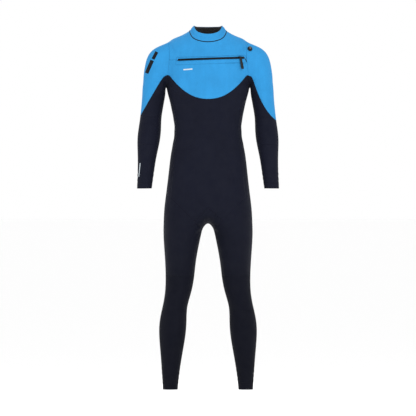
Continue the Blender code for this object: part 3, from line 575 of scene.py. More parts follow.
def crossing_pair(face, sign):
    """The two corners of a face where a line enters and leaves it, if it crosses the face."""
    ring = list(face.verts)
    starts = [i for i, v in enumerate(ring) if sign[v]]
    if not starts:
        return None
    found, run, last = [], [], sign[ring[starts[0]]]
    for step in range(1, len(ring) + 1):
        vert = ring[(starts[0] + step) % len(ring)]
        if not sign[vert]:
            run.append(vert)
            continue
        if sign[vert] != last and run:
            found.append(run[0])
        run, last = [], sign[vert]
    return found if len(found) == 2 else None


def snap_to_line(edges, values, locked):
    """Move free vertices that lie near the line onto it, along their shortest crossing edge."""
    moves = {}
    for edge in edges:
        a, b = edge.verts
        place = values[a] / (values[a] - values[b])
        for vert, other, share in ((a, b, place), (b, a, 1 - place)):
            if share < moves.get(vert, (SNAP,))[0] and vert not in locked:
                moves[vert] = (share, other, vert.co.lerp(other.co, share))
    for vert, (_, _, place) in moves.items():
        vert.co = place
        values[vert] = 0.0


def cut(bm, field, mask, regions, locked):
    """Split the skin's faces along field = 0, where mask holds at a face's centre."""
    faces = [f for f in bm.faces if f.material_index in regions]
    centres = np.array([f.calc_center_median()[:] for f in faces]).T
    faces = [f for f, kept in zip(faces, mask(*centres)) if kept]
    verts = list(dict.fromkeys(v for f in faces for v in f.verts))
    values = dict(zip(verts, field(*coordinates(verts)).tolist()))
    for vert in verts:
        if vert in locked and abs(values[vert]) < ON_LINE or abs(values[vert]) < 1e-6:
            values[vert] = 0.0
    touched = lambda f: min(values[v] for v in f.verts) <= 0 <= max(values[v] for v in f.verts)
    near = [f for f in faces if touched(f)]
    edges = list(dict.fromkeys(e for f in near for e in f.edges))
    crossing = lambda e: values[e.verts[0]] * values[e.verts[1]] < 0
    snap_to_line([e for e in edges if crossing(e)], values, locked)
    for edge in edges:
        if crossing(edge):
            first, second = edge.verts
            place = values[first] / (values[first] - values[second])
            _, middle = bmesh.utils.edge_split(edge, first, place)
            values[middle] = 0.0
    sign = {v: (value > 0) - (value < 0) for v, value in values.items()}
    for face in near:
        pair = crossing_pair(face, sign)
        if pair and not bm.edges.get(pair):
            bmesh.utils.face_split(face, pair[0], pair[1])
    locked.update(v for f in near for v in f.verts if not sign[v])


def everywhere(x, _y, _z):
    return x == x


def cut_torso(bm, torso, locked):
    front = lambda x, y, z: (y < SHOULDER_SEAM_Y) & (z > BLUE_FLOOR_Z)
    back = lambda x, y, z: (y > SHOULDER_SEAM_Y) & (z > BLUE_FLOOR_Z)
    black = lambda x, y, z: z < np.where(y < 0, chest_line(x), yoke_line(x))
    top = lambda x, y, z: z > SHOULDER_SEAM_Z
    cut(bm, lambda x, y, z: y - SHOULDER_SEAM_Y, top, torso, locked)
    cut(bm, lambda x, y, z: z - chest_line(x), front, torso, locked)
    cut(bm, lambda x, y, z: z - yoke_line(x), back, torso, locked)
    cut(bm, lambda x, y, z: y - side_front_y(z), black, torso, locked)
    cut(bm, lambda x, y, z: y - side_back_y(z), black, torso, locked)
    cut_zip_window(bm, torso, locked)


def cut_zip_window(bm, torso, locked):
    start, end, lower, upper = ZIP_WINDOW
    near = lambda x, y, z: (y < 0) & (np.abs(z - ZIP_CENTRE[2]) < 0.06)
    along = lambda x, y, z: zip_place(x, y, z)[0]
    up = lambda x, y, z: zip_place(x, y, z)[1]
    within = lambda x, y, z: (start < along(x, y, z)) & (along(x, y, z) < end)
    for place in (start, end):
        cut(bm, lambda x, y, z: along(x, y, z) - place, near, torso, locked)
    for place in (lower, upper):
        beside = lambda x, y, z: near(x, y, z) & within(x, y, z)
        cut(bm, lambda x, y, z: up(x, y, z) - place, beside, torso, locked)
    beyond = lambda x, y, z: near(x, y, z) & ~within(x, y, z)
    cut(bm, up, beyond, torso, locked)


def cut_limbs(bm, torso, arm, leg, locked):
    hip = lambda x, y, z: zone_depth(HIP_ZONE, x, z)
    hips = lambda x, y, z: z < HIP_CEILING_Z
    in_hip = lambda x, y, z: hips(x, y, z) & (hip(x, y, z) > 0)
    narrow = lambda x, y, z: (np.abs(x) < GUSSET_HALF_WIDTH) & (z < GUSSET_CUT_TOP_Z)
    groin = lambda x, y, z: narrow(x, y, z) & ~in_hip(x, y, z)
    cut(bm, hip, hips, torso | leg, locked)
    cut(bm, lambda x, y, z: y - LEG_SEAM_Y, in_hip, torso | leg, locked)
    cut(bm, lambda x, y, z: z - gusset_line(x), groin, torso | leg, locked)
    for height in (*KNEE_Z, ANKLE_CUFF_Z):
        cut(bm, lambda x, y, z: z - height, everywhere, leg, locked)
    sleeve = lambda x, y, z: z > ELBOW_Z[0] - 0.04
    cut(bm, lambda x, y, z: z - sleeve_line(x), sleeve, arm, locked)
    for height in (*ELBOW_Z, CUFF_Z):
        cut(bm, lambda x, y, z: z - height, everywhere, arm, locked)


# ---- materials


class Graph:
    """A Principled material whose sockets can be fed from small node networks."""

    def __init__(self, name, colour, roughness, **sockets):
        self.material = bpy.data.materials.new(name)
        self.material.use_nodes = True
        self.tree = self.material.node_tree
        self.shader = self.tree.nodes["Principled BSDF"]
        self.material.diffuse_color = (*colour, 1)
        self.set("Base Color", (*colour, 1))
        self.set("Roughness", roughness)
        for socket, value in sockets.items():
            self.set(socket.replace("_", " "), value)

    def set(self, socket, value):
        self.shader.inputs[socket].default_value = value

    def feed(self, socket, output):
        self.tree.links.new(output, self.shader.inputs[socket])

    def node(self, kind, inputs=(), **settings):
        made = self.tree.nodes.new(kind)
        for name, value in settings.items():
            setattr(made, name, value)
        for socket, value in dict(inputs).items():
            if hasattr(value, "is_output"):
                self.tree.links.new(value, made.inputs[socket])
            else:
                made.inputs[socket].default_value = value
        return made

    def math(self, operation, first, second=0.0, third=0.0):
        inputs = {0: first, 1: second, 2: third}
        return self.node("ShaderNodeMath", inputs, operation=operation).outputs[0]

    def attribute(self, name, output="Fac"):
        return self.node("ShaderNodeAttribute", attribute_name=name).outputs[output]

    def place(self):
        return self.node("ShaderNodeTexCoord").outputs["Object"]

    def noise(self, scale, detail=2.0, stretch=None):
        place = self.place()
        if stretch:
            mapping = {"Vector": place, "Scale": stretch}
            place = self.node("ShaderNodeMapping", mapping).outputs[0]
        inputs = {"Vector": place, "Scale": scale, "Detail": detail}
        return self.node("ShaderNodeTexNoise", inputs).outputs["Fac"]

    def spread(self, value, low, high, from_low=0.3, from_high=0.7):
        inputs = {0: value, 1: from_low, 2: from_high, 3: low, 4: high}
        return self.node("ShaderNodeMapRange", inputs).outputs[0]

    def shade(self, colour, *factors):
        """The colour times each factor, fed to Base Color."""
        total = factors[0]
        for factor in factors[1:]:
            total = self.math("MULTIPLY", total, factor)
        grey = self.node("ShaderNodeCombineXYZ", {0: total, 1: total, 2: total}).outputs[0]
        inputs = {0: grey, 1: colour}
        tint = self.node("ShaderNodeVectorMath", inputs, operation="MULTIPLY").outputs[0]
        self.feed("Base Color", tint)

    def bump(self, height, distance, strength=1.0):
        inputs = {"Height": height, "Distance": distance, "Strength": strength}
        self.feed("Normal", self.node("ShaderNodeBump", inputs).outputs[0])


COURSE = 0.0016  # height of one row of knit loops


def knit_height(graph):
    """Columns of V-shaped loops from the panel's wrap attribute and its height."""
    wrap = graph.attribute("wrap", "Vector")
    parts = graph.node("ShaderNodeSeparateXYZ", {0: wrap}).outputs
    angle = graph.math("ARCTAN2", parts[1], parts[0])
    column = graph.math("MULTIPLY", graph.math("DIVIDE", angle, math.tau), parts[2])
    across = graph.math("PINGPONG", column, 0.5)
    height = graph.node("ShaderNodeSeparateXYZ", {0: graph.place()}).outputs[2]
    course = graph.math("DIVIDE", height, COURSE)
    lean = graph.math("MULTIPLY_ADD", across, 1.1, course)
    loop = graph.math("SINE", graph.math("MULTIPLY", lean, math.tau))
    leg = graph.math("SINE", graph.math("MULTIPLY", across, math.tau))
    return graph.math("MULTIPLY_ADD", loop, 0.35, leg)


def jersey(name, colour, roughness, sheen, sheen_tint, seam_shade, painted_shade=None):
    """Knitted nylon laminated to neoprene: loops, faint mottling, and seam edges darkened partly by
    dark glue and partly by painted shade in the sunk seam.

    The last argument is (low z, high z, shade at low z): painted shade that deepens down the leg.
    """
    graph = Graph(name, colour, roughness, Sheen_Weight=sheen, Sheen_Roughness=0.4,
                  Sheen_Tint=(*sheen_tint, 1), Specular_IOR_Level=0.11)
    loops = knit_height(graph)
    grain = graph.noise(420.0, 3.0)
    mottle = graph.spread(graph.noise(11.0, 4.0), 0.93, 1.05)
    streak = graph.spread(graph.noise(60.0, 2.0, (1.0, 1.0, 0.15)), 0.97, 1.03)
    fleck = graph.spread(grain, 0.94, 1.06)
    # Darker seam edges: dark glue, and painted shade in the sunk seam.
    seam = graph.spread(graph.attribute("seam"), 1.0, seam_shade, 0.15, 0.9)
    shades = [mottle, streak, fleck, seam]
    if painted_shade:
        # Painted shade: the colour darkens down the leg.
        low, high, shade = painted_shade
        height = graph.node("ShaderNodeSeparateXYZ", {0: graph.place()}).outputs[2]
        shades.append(graph.spread(height, shade, 1.0, low, high))
    graph.shade(colour, *shades)
    uneven = graph.spread(graph.noise(35.0, 3.0), roughness - 0.06, roughness + 0.06)
    graph.feed("Roughness", uneven)
    graph.bump(graph.math("MULTIPLY_ADD", grain, 0.8, loops), 0.00012, 0.55)
    return graph.material


def lining(name, colour):
    """The plainer inside jersey, with a coarser raised grid."""
    graph = Graph(name, colour, 0.8, Sheen_Weight=0.2, Sheen_Roughness=0.5)
    loops = knit_height(graph)
    graph.shade(colour, graph.spread(graph.noise(40.0, 3.0), 0.85, 1.15))
    graph.bump(loops, 0.0002, 0.6)
    return graph.material


def weave(name, colour, pitch):
    """Woven tape: crossed ribs along the height and across."""
    graph = Graph(name, colour, 0.7, Sheen_Weight=0.03, Specular_IOR_Level=0.12)
    parts = graph.node("ShaderNodeSeparateXYZ", {0: graph.place()}).outputs
    warp = graph.math("SINE", graph.math("MULTIPLY", parts[0], math.tau / pitch))
    weft = graph.math("SINE", graph.math("MULTIPLY", parts[2], math.tau / pitch))
    graph.shade(colour, graph.spread(graph.noise(150.0, 3.0), 0.85, 1.2))
    graph.bump(graph.math("MULTIPLY", warp, weft), 0.00015, 0.7)
    return graph.material


def moulded(name, colour, roughness, grain_scale=900.0, wear=0.04, metallic=0.0, coat=0.0,
            gloss=0.2):
    """Moulded or cast part: fine grain, uneven gloss and faint handling wear."""
    graph = Graph(name, colour, roughness, Metallic=metallic, Coat_Weight=coat,
                  Specular_IOR_Level=gloss)
    graph.shade(colour, graph.spread(graph.noise(70.0, 5.0), 1 - wear, 1 + 2 * wear))
    uneven = graph.spread(graph.noise(130.0, 4.0), roughness - 0.07, roughness + 0.08)
    graph.feed("Roughness", uneven)
    graph.bump(graph.noise(grain_scale, 2.0), 0.00005, 0.35)
    return graph.material


BLUE_DYE = (0.0255, 0.245, 0.545)
BLACK_DYE = (0.0046, 0.0056, 0.0138)
LOWER_PAINTED_SHADE = 0.64  # painted shade: the black below the knees' tops, as a part of the black above


def make_materials():
    """Every finish of the suit by the name of its slot or part."""
    finishes = (
        (jersey, "blue_jersey", BLUE_DYE, 0.72, 0.05, (0.6, 0.85, 1.0), 0.62),
        # The two black jerseys end with painted shade that deepens down the legs.
        (jersey, "black_jersey", BLACK_DYE, 0.76, 0.025, (0.8, 0.85, 1.0), 0.55,
         (KNEE_Z[0], 0.80, 0.68)),
        (jersey, "lower_black_jersey", tuple(LOWER_PAINTED_SHADE * c for c in BLACK_DYE), 0.80, 0.008,
         (0.8, 0.85, 1.0), 0.55, (0.0, KNEE_Z[0], 0.72)),
        (lining, "black_lining", (0.0045, 0.0045, 0.0055)),
        (moulded, "smooth_skin", (0.010, 0.010, 0.012), 0.38, 300.0),
        (weave, "black_tape", (0.005, 0.005, 0.007), 0.0011),
        (moulded, "black_plastic", (0.0035, 0.0035, 0.0045), 0.36),
        (moulded, "black_metal", (0.014, 0.014, 0.015), 0.34, 700.0, 0.1, 0.9, 0.05),
        (moulded, "pull_rubber", (0.0065, 0.0070, 0.0058), 0.42, 500.0, 0.15),
        (moulded, "button_grey", (0.12, 0.10, 0.09), 0.5),
        (moulded, "spring_steel", (0.55, 0.55, 0.56), 0.28, 900.0, 0.05, 1.0),
        (weave, "blue_thread", (0.014, 0.14, 0.34), 0.0006),
        (weave, "black_thread", (0.006, 0.007, 0.010), 0.0006),
        (moulded, "print_black", (0.0040, 0.0048, 0.0075), 0.5, 600.0, 0.04, 0.0, 0.0, 0.12),
        (moulded, "print_pale", (0.52, 0.58, 0.62), 0.55, 600.0),
    )
    return {name: kind(name, *settings) for kind, name, *settings in finishes}


MATERIALS = make_materials()


# ---- panels


def torso_panel(x, y, z):
    side = "left" if x > 0 else "right"
    if zone_depth(HIP_ZONE, x, z) > 0 and z < HIP_CEILING_Z:
        return f"leg_front_{side}" if y < LEG_SEAM_Y else f"leg_back_{side}"
    if abs(x) < GUSSET_HALF_WIDTH and z < gusset_line(x):
        return "crotch_gusset"
    if y > SHOULDER_SEAM_Y and z > yoke_line(x):
        return "back_yoke"
    if y <= SHOULDER_SEAM_Y and z > chest_line(x):
        return chest_or_flap(x, y, z)
    if side_front_y(z) < y < side_back_y(z):
        return f"side_panel_{side}"
    return "torso_front" if y < 0 else "torso_back"


def chest_or_flap(x, y, z):
    start, end, lower, upper = ZIP_WINDOW
    along, up = zip_place(x, y, z)
    if start < along < end and y < 0 and lower < up < upper:
        return None
    return "neck_flap" if up > 0 else "chest_panel"


def arm_panel(x, _y, z):
    side = "left" if x > 0 else "right"
    blue = z > sleeve_line(x)
    if z < CUFF_Z:
        return f"wrist_cuff_{side}"
    if z < ELBOW_Z[1]:
        return f"forearm_{side}"
    if z < ELBOW_Z[0]:
        return f"sleeve_tip_{side}" if blue else f"elbow_{side}"
    return f"sleeve_outer_{side}" if blue else f"sleeve_inner_{side}"


def leg_panel(x, y, z):
    side = "left" if x > 0 else "right"
    if zone_depth(HIP_ZONE, x, z) < 0:
        return torso_panel(x, y, z)
    front = y < LEG_SEAM_Y
    if z < ANKLE_CUFF_Z:
        return f"ankle_cuff_{side}"
    if z < KNEE_Z[1]:
        return f"shin_{side}" if front else f"calf_{side}"
    if z < KNEE_Z[0]:
        return f"knee_pad_{side}" if front else f"knee_back_{side}"
    return f"leg_front_{side}" if front else f"leg_back_{side}"


def label_faces(bm, names):
    """Panel name to its faces on the cut skin, and each face to its panel name."""
    choose = {"torso": torso_panel, "arm": arm_panel, "leg": leg_panel}
    panels, labels = {}, {}
    for face in bm.faces:
        region = names[face.material_index]
        x, y, z = face.calc_center_median()
        name = "collar" if region == "collar" else choose[region](x, y, z)
        labels[face] = name
        if name:
            panels.setdefault(name, []).append(face)
    return panels, labels


BLUE = ("collar", "neck_flap", "chest_panel", "back_yoke", "sleeve_outer", "sleeve_tip")
LOWER = ("knee", "shin", "calf", "ankle")
# Looks pieces that stand for CAD panels of other names.
STANDS_FOR = {
    "sleeve_outer": ("shoulder_cap", "upper_sleeve_outer"),
    "sleeve_inner": ("underarm", "upper_sleeve_inner"),
    "leg_front": ("hip_front", "thigh_front"),
    "leg_back": ("hip_back", "thigh_back"),
    "sleeve_tip": ("elbow",),
}
# Joins that are one piece of fabric in the real suit and show no seam.
UNSEWN = {frozenset(pair) for pair in (
    ("sleeve_outer", "sleeve_tip"), ("sleeve_inner", "elbow"), ("elbow", "forearm"),
    ("torso_front", "leg_front"), ("torso_back", "leg_back"), ("knee_back", "calf"),
    ("leg_back", "knee_back"), ("side_panel", "leg_front"), ("side_panel", "leg_back"),
    ("elbow", "elbow"),
)}


def split_side(name):
    for side in ("_left", "_right"):
        if name.endswith(side):
            return name[:-len(side)], side
    return name, ""


def sewn(one, two):
    """True where two panels meet at a seam that shows."""
    return frozenset((split_side(one)[0], split_side(two)[0])) not in UNSEWN


def attach(obj, panel):
    """Ride the body that holds the panel; a panel that spans a joint is baked in place and rides no
    body.
    """
    base, side = split_side(panel)
    if base in ("sleeve_outer", "sleeve_inner"):
        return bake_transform(obj)
    if base in ("elbow", "sleeve_tip"):
        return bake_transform(obj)
    if base in ("leg_front", "leg_back"):
        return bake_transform(obj)
    if base in ("knee_pad", "knee_back"):
        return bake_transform(obj)
    if base in ("forearm", "wrist_cuff"):
        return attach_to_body(obj, "forearm" + side)
    if base in ("shin", "calf", "ankle_cuff"):
        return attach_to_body(obj, "shin" + side)
    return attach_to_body(obj, "torso")


def nodes_of(panel):
    base, side = split_side(panel)
    return [node + side for node in STANDS_FOR.get(base, (base,))]


def limb_axis(table, z):
    """Centre x and y of a limb at heights z, from (z, x, y) rows sorted by height."""
    heights, xs, ys = zip(*sorted(table))
    return np.interp(z, heights, xs), np.interp(z, heights, ys) + BODY_SHIFT_Y


ARM_AXIS = [((i[1] + o[1]) / 2, (i[0] + o[0]) / 2, y) for i, o, y, _ in ARM_RINGS]
LEG_AXIS = [(z, (inner + outer) / 2, (front + back) / 2)
            for z, inner, outer, front, back in LEG_RINGS]
WALES = {"torso": 620, "arm": 230, "leg": 260}  # knit columns round each part of the suit


def knit_directions(co, panel):
    """Direction round the body or limb (cosine, sine) and its number of knit columns."""
    x, y, z = co.T
    base, _ = split_side(panel)
    if base.startswith(("sleeve", "elbow", "forearm", "wrist")):
        part, (centre_x, centre_y) = "arm", limb_axis(ARM_AXIS, z)
    elif base.startswith(("leg", "knee", "shin", "calf", "ankle")):
        part, (centre_x, centre_y) = "leg", limb_axis(LEG_AXIS, z)
    else:
        part, (centre_x, centre_y) = "torso", (0.0, 0.0)
    dx, dy = np.abs(x) - centre_x if part != "torso" else x, centre_y - y
    if part != "torso":
        dx = dx * np.sign(x)
    length = np.maximum(np.hypot(dx, dy), 1e-6)
    return np.stack([dy / length, dx / length, np.full(len(x), WALES[part])], 1)


def key(co):
    return tuple(round(c, 6) for c in co)


def rolled_panel(faces, inset):
    """A copy of the faces with a narrow ring of faces inside its edge."""
    bm = bmesh.new()
    copies = {}
    for vert in dict.fromkeys(v for f in faces for v in f.verts):
        copies[vert] = bm.verts.new(vert.co)
    for face in faces:
        bm.faces.new([copies[v] for v in face.verts])
    bmesh.ops.inset_region(bm, faces=bm.faces[:], use_boundary=True, use_even_offset=False,
                           thickness=inset)
    bm.normal_update()
    return bm


def edge_kinds(faces, labels, panel):
    """For each vertex on the panel's edge: its skin normal, pull inward, and whether it's sewn."""
    face_set = set(faces)
    kinds = {}
    for vert in dict.fromkeys(v for f in faces for v in f.verts):
        if all(f in face_set for f in vert.link_faces) and not vert.is_boundary:
            continue
        pull = Vector()
        hard = vert.is_boundary
        for edge in vert.link_edges:
            inside = [f for f in edge.link_faces if f in face_set]
            if len(inside) != 1:
                continue
            others = [labels[f] for f in edge.link_faces if f not in face_set]
            if others and others[0] and not sewn(panel, others[0]):
                continue
            hard = True
            inward = inside[0].normal.cross(edge.other_vert(vert).co - vert.co).normalized()
            centre = inside[0].calc_center_median() - vert.co
            pull += inward if inward.dot(centre) > 0 else -inward
        kinds[key(vert.co)] = (vert.normal.copy(), pull.normalized(), hard)
    return kinds


def shell_faces(bm, count):
    """Outer faces, the same faces of the inner skin count further on, and the rim between."""
    polygons = [[v.index for v in f.verts] for f in bm.faces]
    linings = [[count + i for i in reversed(p)] for p in polygons]
    rim = []
    for edge in bm.edges:
        if edge.is_boundary:
            loop = edge.link_loops[0]
            a, b = loop.vert.index, loop.link_loop_next.vert.index
            rim.append([b, a, count + a, count + b])
    return polygons, linings, rim


def shell_mesh(name, panel, faces, labels, outer=0.0, inner=NEOPRENE):
    """The panel as a closed shell: jersey outside (slot 0), lining and cut edge (slot 1)."""
    kinds = edge_kinds(faces, labels, panel)
    bm = rolled_panel(faces, SEAM_ROLL)
    bm.verts.index_update()
    top, bottom, normals, hard_edge = [], [], [], []
    for vert in bm.verts:
        normal, pull, hard = kinds.get(key(vert.co), (vert.normal, Vector(), False))
        on_rim = vert.is_boundary
        sink = SEAM_SINK if on_rim and hard else 0.0
        shift = pull * SEAM_GAP if on_rim else Vector()
        top.append(vert.co - normal * (outer + sink) + shift)
        bottom.append(vert.co - normal * inner + shift)
        normals.append(normal.copy())
        hard_edge.append(1.0 if on_rim and hard else 0.0)
    count = len(top)
    polygons, linings, rim = shell_faces(bm, count)
    soft = {v.index for v in bm.verts if v.is_boundary and not hard_edge[v.index]}
    bm.free()
    mesh = bpy.data.meshes.new(name)
    mesh.from_pydata(top + bottom, [], polygons + linings + rim)
    slots = [0] * len(polygons) + [1] * (len(linings) + len(rim))
    mesh.polygons.foreach_set("material_index", slots)
    # The seam value darkens sewn edges: dark glue, and painted shade in the sunk seam.
    add_point_values(mesh, "seam", hard_edge + [0.0] * count)
    co = np.array([tuple(p) for p in top + bottom])
    add_point_vectors(mesh, "wrap", knit_directions(co, panel))
    finish_shading(mesh, len(polygons), len(linings), normals, soft)
    return mesh


def add_point_values(mesh, name, values):
    mesh.attributes.new(name, "FLOAT", "POINT").data.foreach_set("value", values)


def add_point_vectors(mesh, name, vectors):
    attribute = mesh.attributes.new(name, "FLOAT_VECTOR", "POINT")
    attribute.data.foreach_set("vector", np.asarray(vectors, dtype=np.float32).ravel())


def finish_shading(mesh, tops, linings, normals, soft):
    """Smooth faces with sharp rims; unsewn edges keep the whole skin's normals."""
    mesh.shade_smooth()
    sharp = np.zeros(len(mesh.edges), dtype=bool)
    index = {tuple(sorted(e.vertices)): e.index for e in mesh.edges}
    for polygon in mesh.polygons[tops + linings:]:
        b, a, low_a, low_b = polygon.vertices
        sharp[index[tuple(sorted((a, b)))]] = True
        sharp[index[tuple(sorted((low_a, low_b)))]] = True
    mesh.edges.foreach_set("use_edge_sharp", sharp)
    if not soft:
        return
    custom = np.zeros((len(mesh.loops), 3))
    for polygon in mesh.polygons[:tops]:
        for loop in polygon.loop_indices:
            vertex = mesh.loops[loop].vertex_index
            if vertex in soft:
                custom[loop] = normals[vertex]
    mesh.normals_split_custom_set(custom.tolist())


def jersey_of(panel):
    if panel.startswith(BLUE):
        return "blue_jersey"
    return "lower_black_jersey" if panel.startswith(LOWER) else "black_jersey"


def make_panels(bm, names):
    """Every panel as a piece; returns the panels' faces and each face's panel."""
    panels, labels = label_faces(bm, names)
    for panel, faces in sorted(panels.items()):
        name = panel + "_fabric"
        mesh = shell_mesh(name, panel, faces, labels)
        for finish in (jersey_of(panel), "black_lining"):
            mesh.materials.append(MATERIALS[finish])
        obj = link(name, mesh)
        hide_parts(*nodes_of(panel))
        attach(obj, panel)
    return panels, labels


# ---- stitches


def seam_edges(bm, labels):
    """Sewn edges of the skin, grouped by the pair of panels they join."""
    seams = {}
    for edge in bm.edges:
        sides = [labels[f] for f in edge.link_faces]
        if len(sides) == 2 and sides[0] != sides[1] and all(sides) and sewn(*sides):
            seams.setdefault(tuple(sorted(sides)), []).append(edge)
    return seams


def chains(edges):
    """Edges joined end to end into runs of vertices."""
    at = {}
    for edge in edges:
        for vert in edge.verts:
            at.setdefault(vert, []).append(edge)
    used, runs = set(), []
    ends = [v for v in at if len(at[v]) == 1] + list(at)
    for start in ends:
        run = [start]
        while True:
            following = [e for e in at[run[-1]] if e not in used]
            if not following:
                break
            used.add(following[0])
            run.append(following[0].other_vert(run[-1]))
        if len(run) > 1:
            runs.append(run)
    return runs


def resample(points, pitch):
    """Evenly spaced places along a polyline: position and direction at each."""
    points = np.asarray(points, dtype=float)
    steps = np.linalg.norm(np.diff(points[:, :3], axis=0), axis=1)
    reach = np.concatenate([[0], np.cumsum(steps)])
    count = max(2, round(reach[-1] / pitch))
    at = (np.arange(count) + 0.5) * reach[-1] / count
    return np.stack([np.interp(at, reach, points[:, i]) for i in range(points.shape[1])], 1)


def stitch_row(places, length, slant, lift):
    """Slanted low arches of thread across a line of (position, normal) rows."""
    at, normal = places[:, :3], places[:, 3:6]
    normal = normal / np.linalg.norm(normal, axis=1)[:, None]
    along = np.gradient(at, axis=0)
    along /= np.maximum(np.linalg.norm(along, axis=1), 1e-9)[:, None]
    across = np.cross(normal, along)
    direction = across * math.cos(slant) + along * math.sin(slant)
    sideways = np.cross(normal, direction) * STITCH_THICK / 2
    rows = []
    for share, height in ((-0.5, -0.3), (-0.25, 0.75), (0.25, 0.75), (0.5, -0.3)):
        middle = at + direction * (length * share) + normal * (lift + STITCH_THICK * height)
        rows += [middle - sideways, middle + sideways, middle + normal * STITCH_THICK * 0.7]
    verts = np.stack(rows, 1).reshape(-1, 3)
    faces = []
    for ring in range(3):
        base = ring * 3
        for a, b in ((0, 1), (1, 2), (2, 0)):
            faces.append([base + a, base + b, base + 3 + b, base + 3 + a])
    faces += [[2, 1, 0], [9, 10, 11]]
    polygons = [[12 * n + i for i in face] for n in range(len(at)) for face in faces]
    return verts, polygons


def add_rows(name, rows, thread, panel):
    """One piece made of many stitch rows, placed as the panel is."""
    verts, polygons, base = [], [], 0
    for row_verts, row_polygons in rows:
        verts.append(row_verts)
        polygons += [[i + base for i in polygon] for polygon in row_polygons]
        base += len(row_verts)
    mesh = bpy.data.meshes.new(name)
    mesh.from_pydata(np.concatenate(verts).tolist(), [], polygons)
    obj = add_piece(name, mesh, thread)
    attach(obj, panel)


def thread_for(one, two):
    blue = [panel.startswith(BLUE) for panel in (one, two)]
    return "blue_thread" if all(blue) else "black_thread"


def make_stitches(bm, labels):
    """Blind stitches over every sewn seam, one piece of thread for each panel that carries it."""
    by_piece = {}
    for (one, two), edges in sorted(seam_edges(bm, labels).items()):
        for run in chains(edges):
            points = [(*v.co, *v.normal) for v in run]
            places = resample(points, STITCH_PITCH)
            rows = stitch_row(places, STITCH_LENGTH, 0.45, -SEAM_SINK * 0.5)
            carrier = one if sewn_on(one) else two
            by_piece.setdefault((carrier, thread_for(one, two)), []).append(rows)
    for (carrier, thread), rows in sorted(by_piece.items()):
        add_rows(f"{carrier}_{thread}", rows, thread, carrier)


def sewn_on(panel):
    """Limb panels carry the stitches of their seams, so that both are placed alike."""
    return not panel.startswith(("torso", "side", "crotch", "chest", "neck", "back", "collar"))


# ---- shapes for the trims


def add_piece(name, mesh, finish):
    mesh.shade_smooth()
    mesh.materials.append(MATERIALS[finish])
    return link(name, mesh)


def mesh_from(name, bm):
    bmesh.ops.recalc_face_normals(bm, faces=bm.faces)
    mesh = bpy.data.meshes.new(name)
    bm.to_mesh(mesh)
    bm.free()
    return mesh


def loft(bm, rings, closed=False):
    """A closed skin through equal rings of points, capped unless it closes on itself."""
    rows = [[bm.verts.new(point) for point in ring] for ring in rings]
    pairs = list(zip(rows, rows[1:]))
    if closed:
        pairs.append((rows[-1], rows[0]))
    else:
        bm.faces.new(rows[0])
        bm.faces.new(rows[-1][::-1])
    for one, two in pairs:
        for place in range(len(one)):
            after = (place + 1) % len(one)
            bm.faces.new([one[after], one[place], two[place], two[after]])


def rounded_box(half_u, half_v, corner, steps=3):
    """Outline of a rectangle with round corners, anticlockwise, as (u, v) points."""
    points = []
    for quarter, (su, sv) in enumerate(((1, 1), (-1, 1), (-1, -1), (1, -1))):
        for step in range(steps + 1):
            angle = math.pi / 2 * (quarter + step / steps)
            points.append((su * (half_u - corner) + corner * math.cos(angle),
                           sv * (half_v - corner) + corner * math.sin(angle)))
    return points


def ride_and_replace(obj, body, slot, *nodes):
    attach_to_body(obj, body)
    if nodes:
        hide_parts(*nodes)


def trim_piece(name, bm, finish, body, nodes=(), sharp=35, matrix=None):
    """A hard trim from its bmesh: sharp beyond an angle in degrees, placed by a matrix."""
    mesh = mesh_from(name, bm)
    if sharp:
        mesh.set_sharp_from_angle(angle=math.radians(sharp))
    if matrix:
        mesh.transform(matrix)
    obj = add_piece(name, mesh, finish)
    ride_and_replace(obj, body, finish, *nodes)
    return obj


# ---- the chest zip


def on_zip(along, up, out):
    """A point by its arc length along the zip, its height up the cone and out from it."""
    angle = along / ZIP_RADIUS
    radius = ZIP_RADIUS + out * math.cos(ZIP_LEAN) - up * math.sin(ZIP_LEAN)
    flat = Vector((radius * math.sin(angle), -radius * math.cos(angle),
                   up * math.cos(ZIP_LEAN) + out * math.sin(ZIP_LEAN)))
    centre = Vector(ZIP_CENTRE) + Vector((0, BODY_SHIFT_Y, 0))
    return centre + Matrix.Rotation(-ZIP_RISE, 3, "Y") @ flat


def zip_frame(along):
    """Matrix whose X runs along the zip, Y up it and Z out of it."""
    origin = on_zip(along, 0, 0)
    x_axis = (on_zip(along + 0.001, 0, 0) - on_zip(along - 0.001, 0, 0)).normalized()
    y_axis = (on_zip(along, 0.001, 0) - on_zip(along, -0.001, 0)).normalized()
    matrix = Matrix((x_axis, y_axis, x_axis.cross(y_axis))).transposed().to_4x4()
    matrix.translation = origin
    return matrix


def zip_loop(half, steps):
    """Matched points of the window's edge and the slit's edge, round the surround."""
    start, end, lower, upper = ZIP_WINDOW
    low, high = SLOT[0] + half, SLOT[1] - half
    long, short = steps
    sides = []
    for sign, (one, two), (near, far), height, across in (
            (1, (start, end), (low, high), upper, lower),
            (-1, (end, start), (high, low), lower, upper)):
        for t in np.arange(long) / long:
            sides.append(((one + (two - one) * t, height), (near + (far - near) * t, sign * half)))
        for t in np.arange(short) / short:
            angle = math.pi * (0.5 - t if sign > 0 else -0.5 - t)
            edge = (far + half * math.cos(angle), half * math.sin(angle))
            sides.append(((two, height + (across - height) * t), edge))
    return sides


SLIT_HALF = 0.0043
# Profile of the surround: distance from the window's edge, then from the slit's edge, and the
# height over the skin at each.
SURROUND_OUTER = ((0.0001, -0.0006), (0.0013, 0.0), (0.0020, 0.0))
SURROUND_INNER = ((0.0030, 0.0), (0.0022, 0.0004), (0.0010, 0.0006), (0.0003, 0.0002),
                  (0.0, -0.0006))


def skin_over_cone(tree, along, up):
    """How far the skin lies outside the zip's cone at a place on it."""
    point = on_zip(along, up, 0.03)
    outward = (point - on_zip(along, up, 0.0)).normalized()
    hit, _, _, distance = tree.ray_cast(point, -outward)
    return 0.03 - distance if hit else 0.0


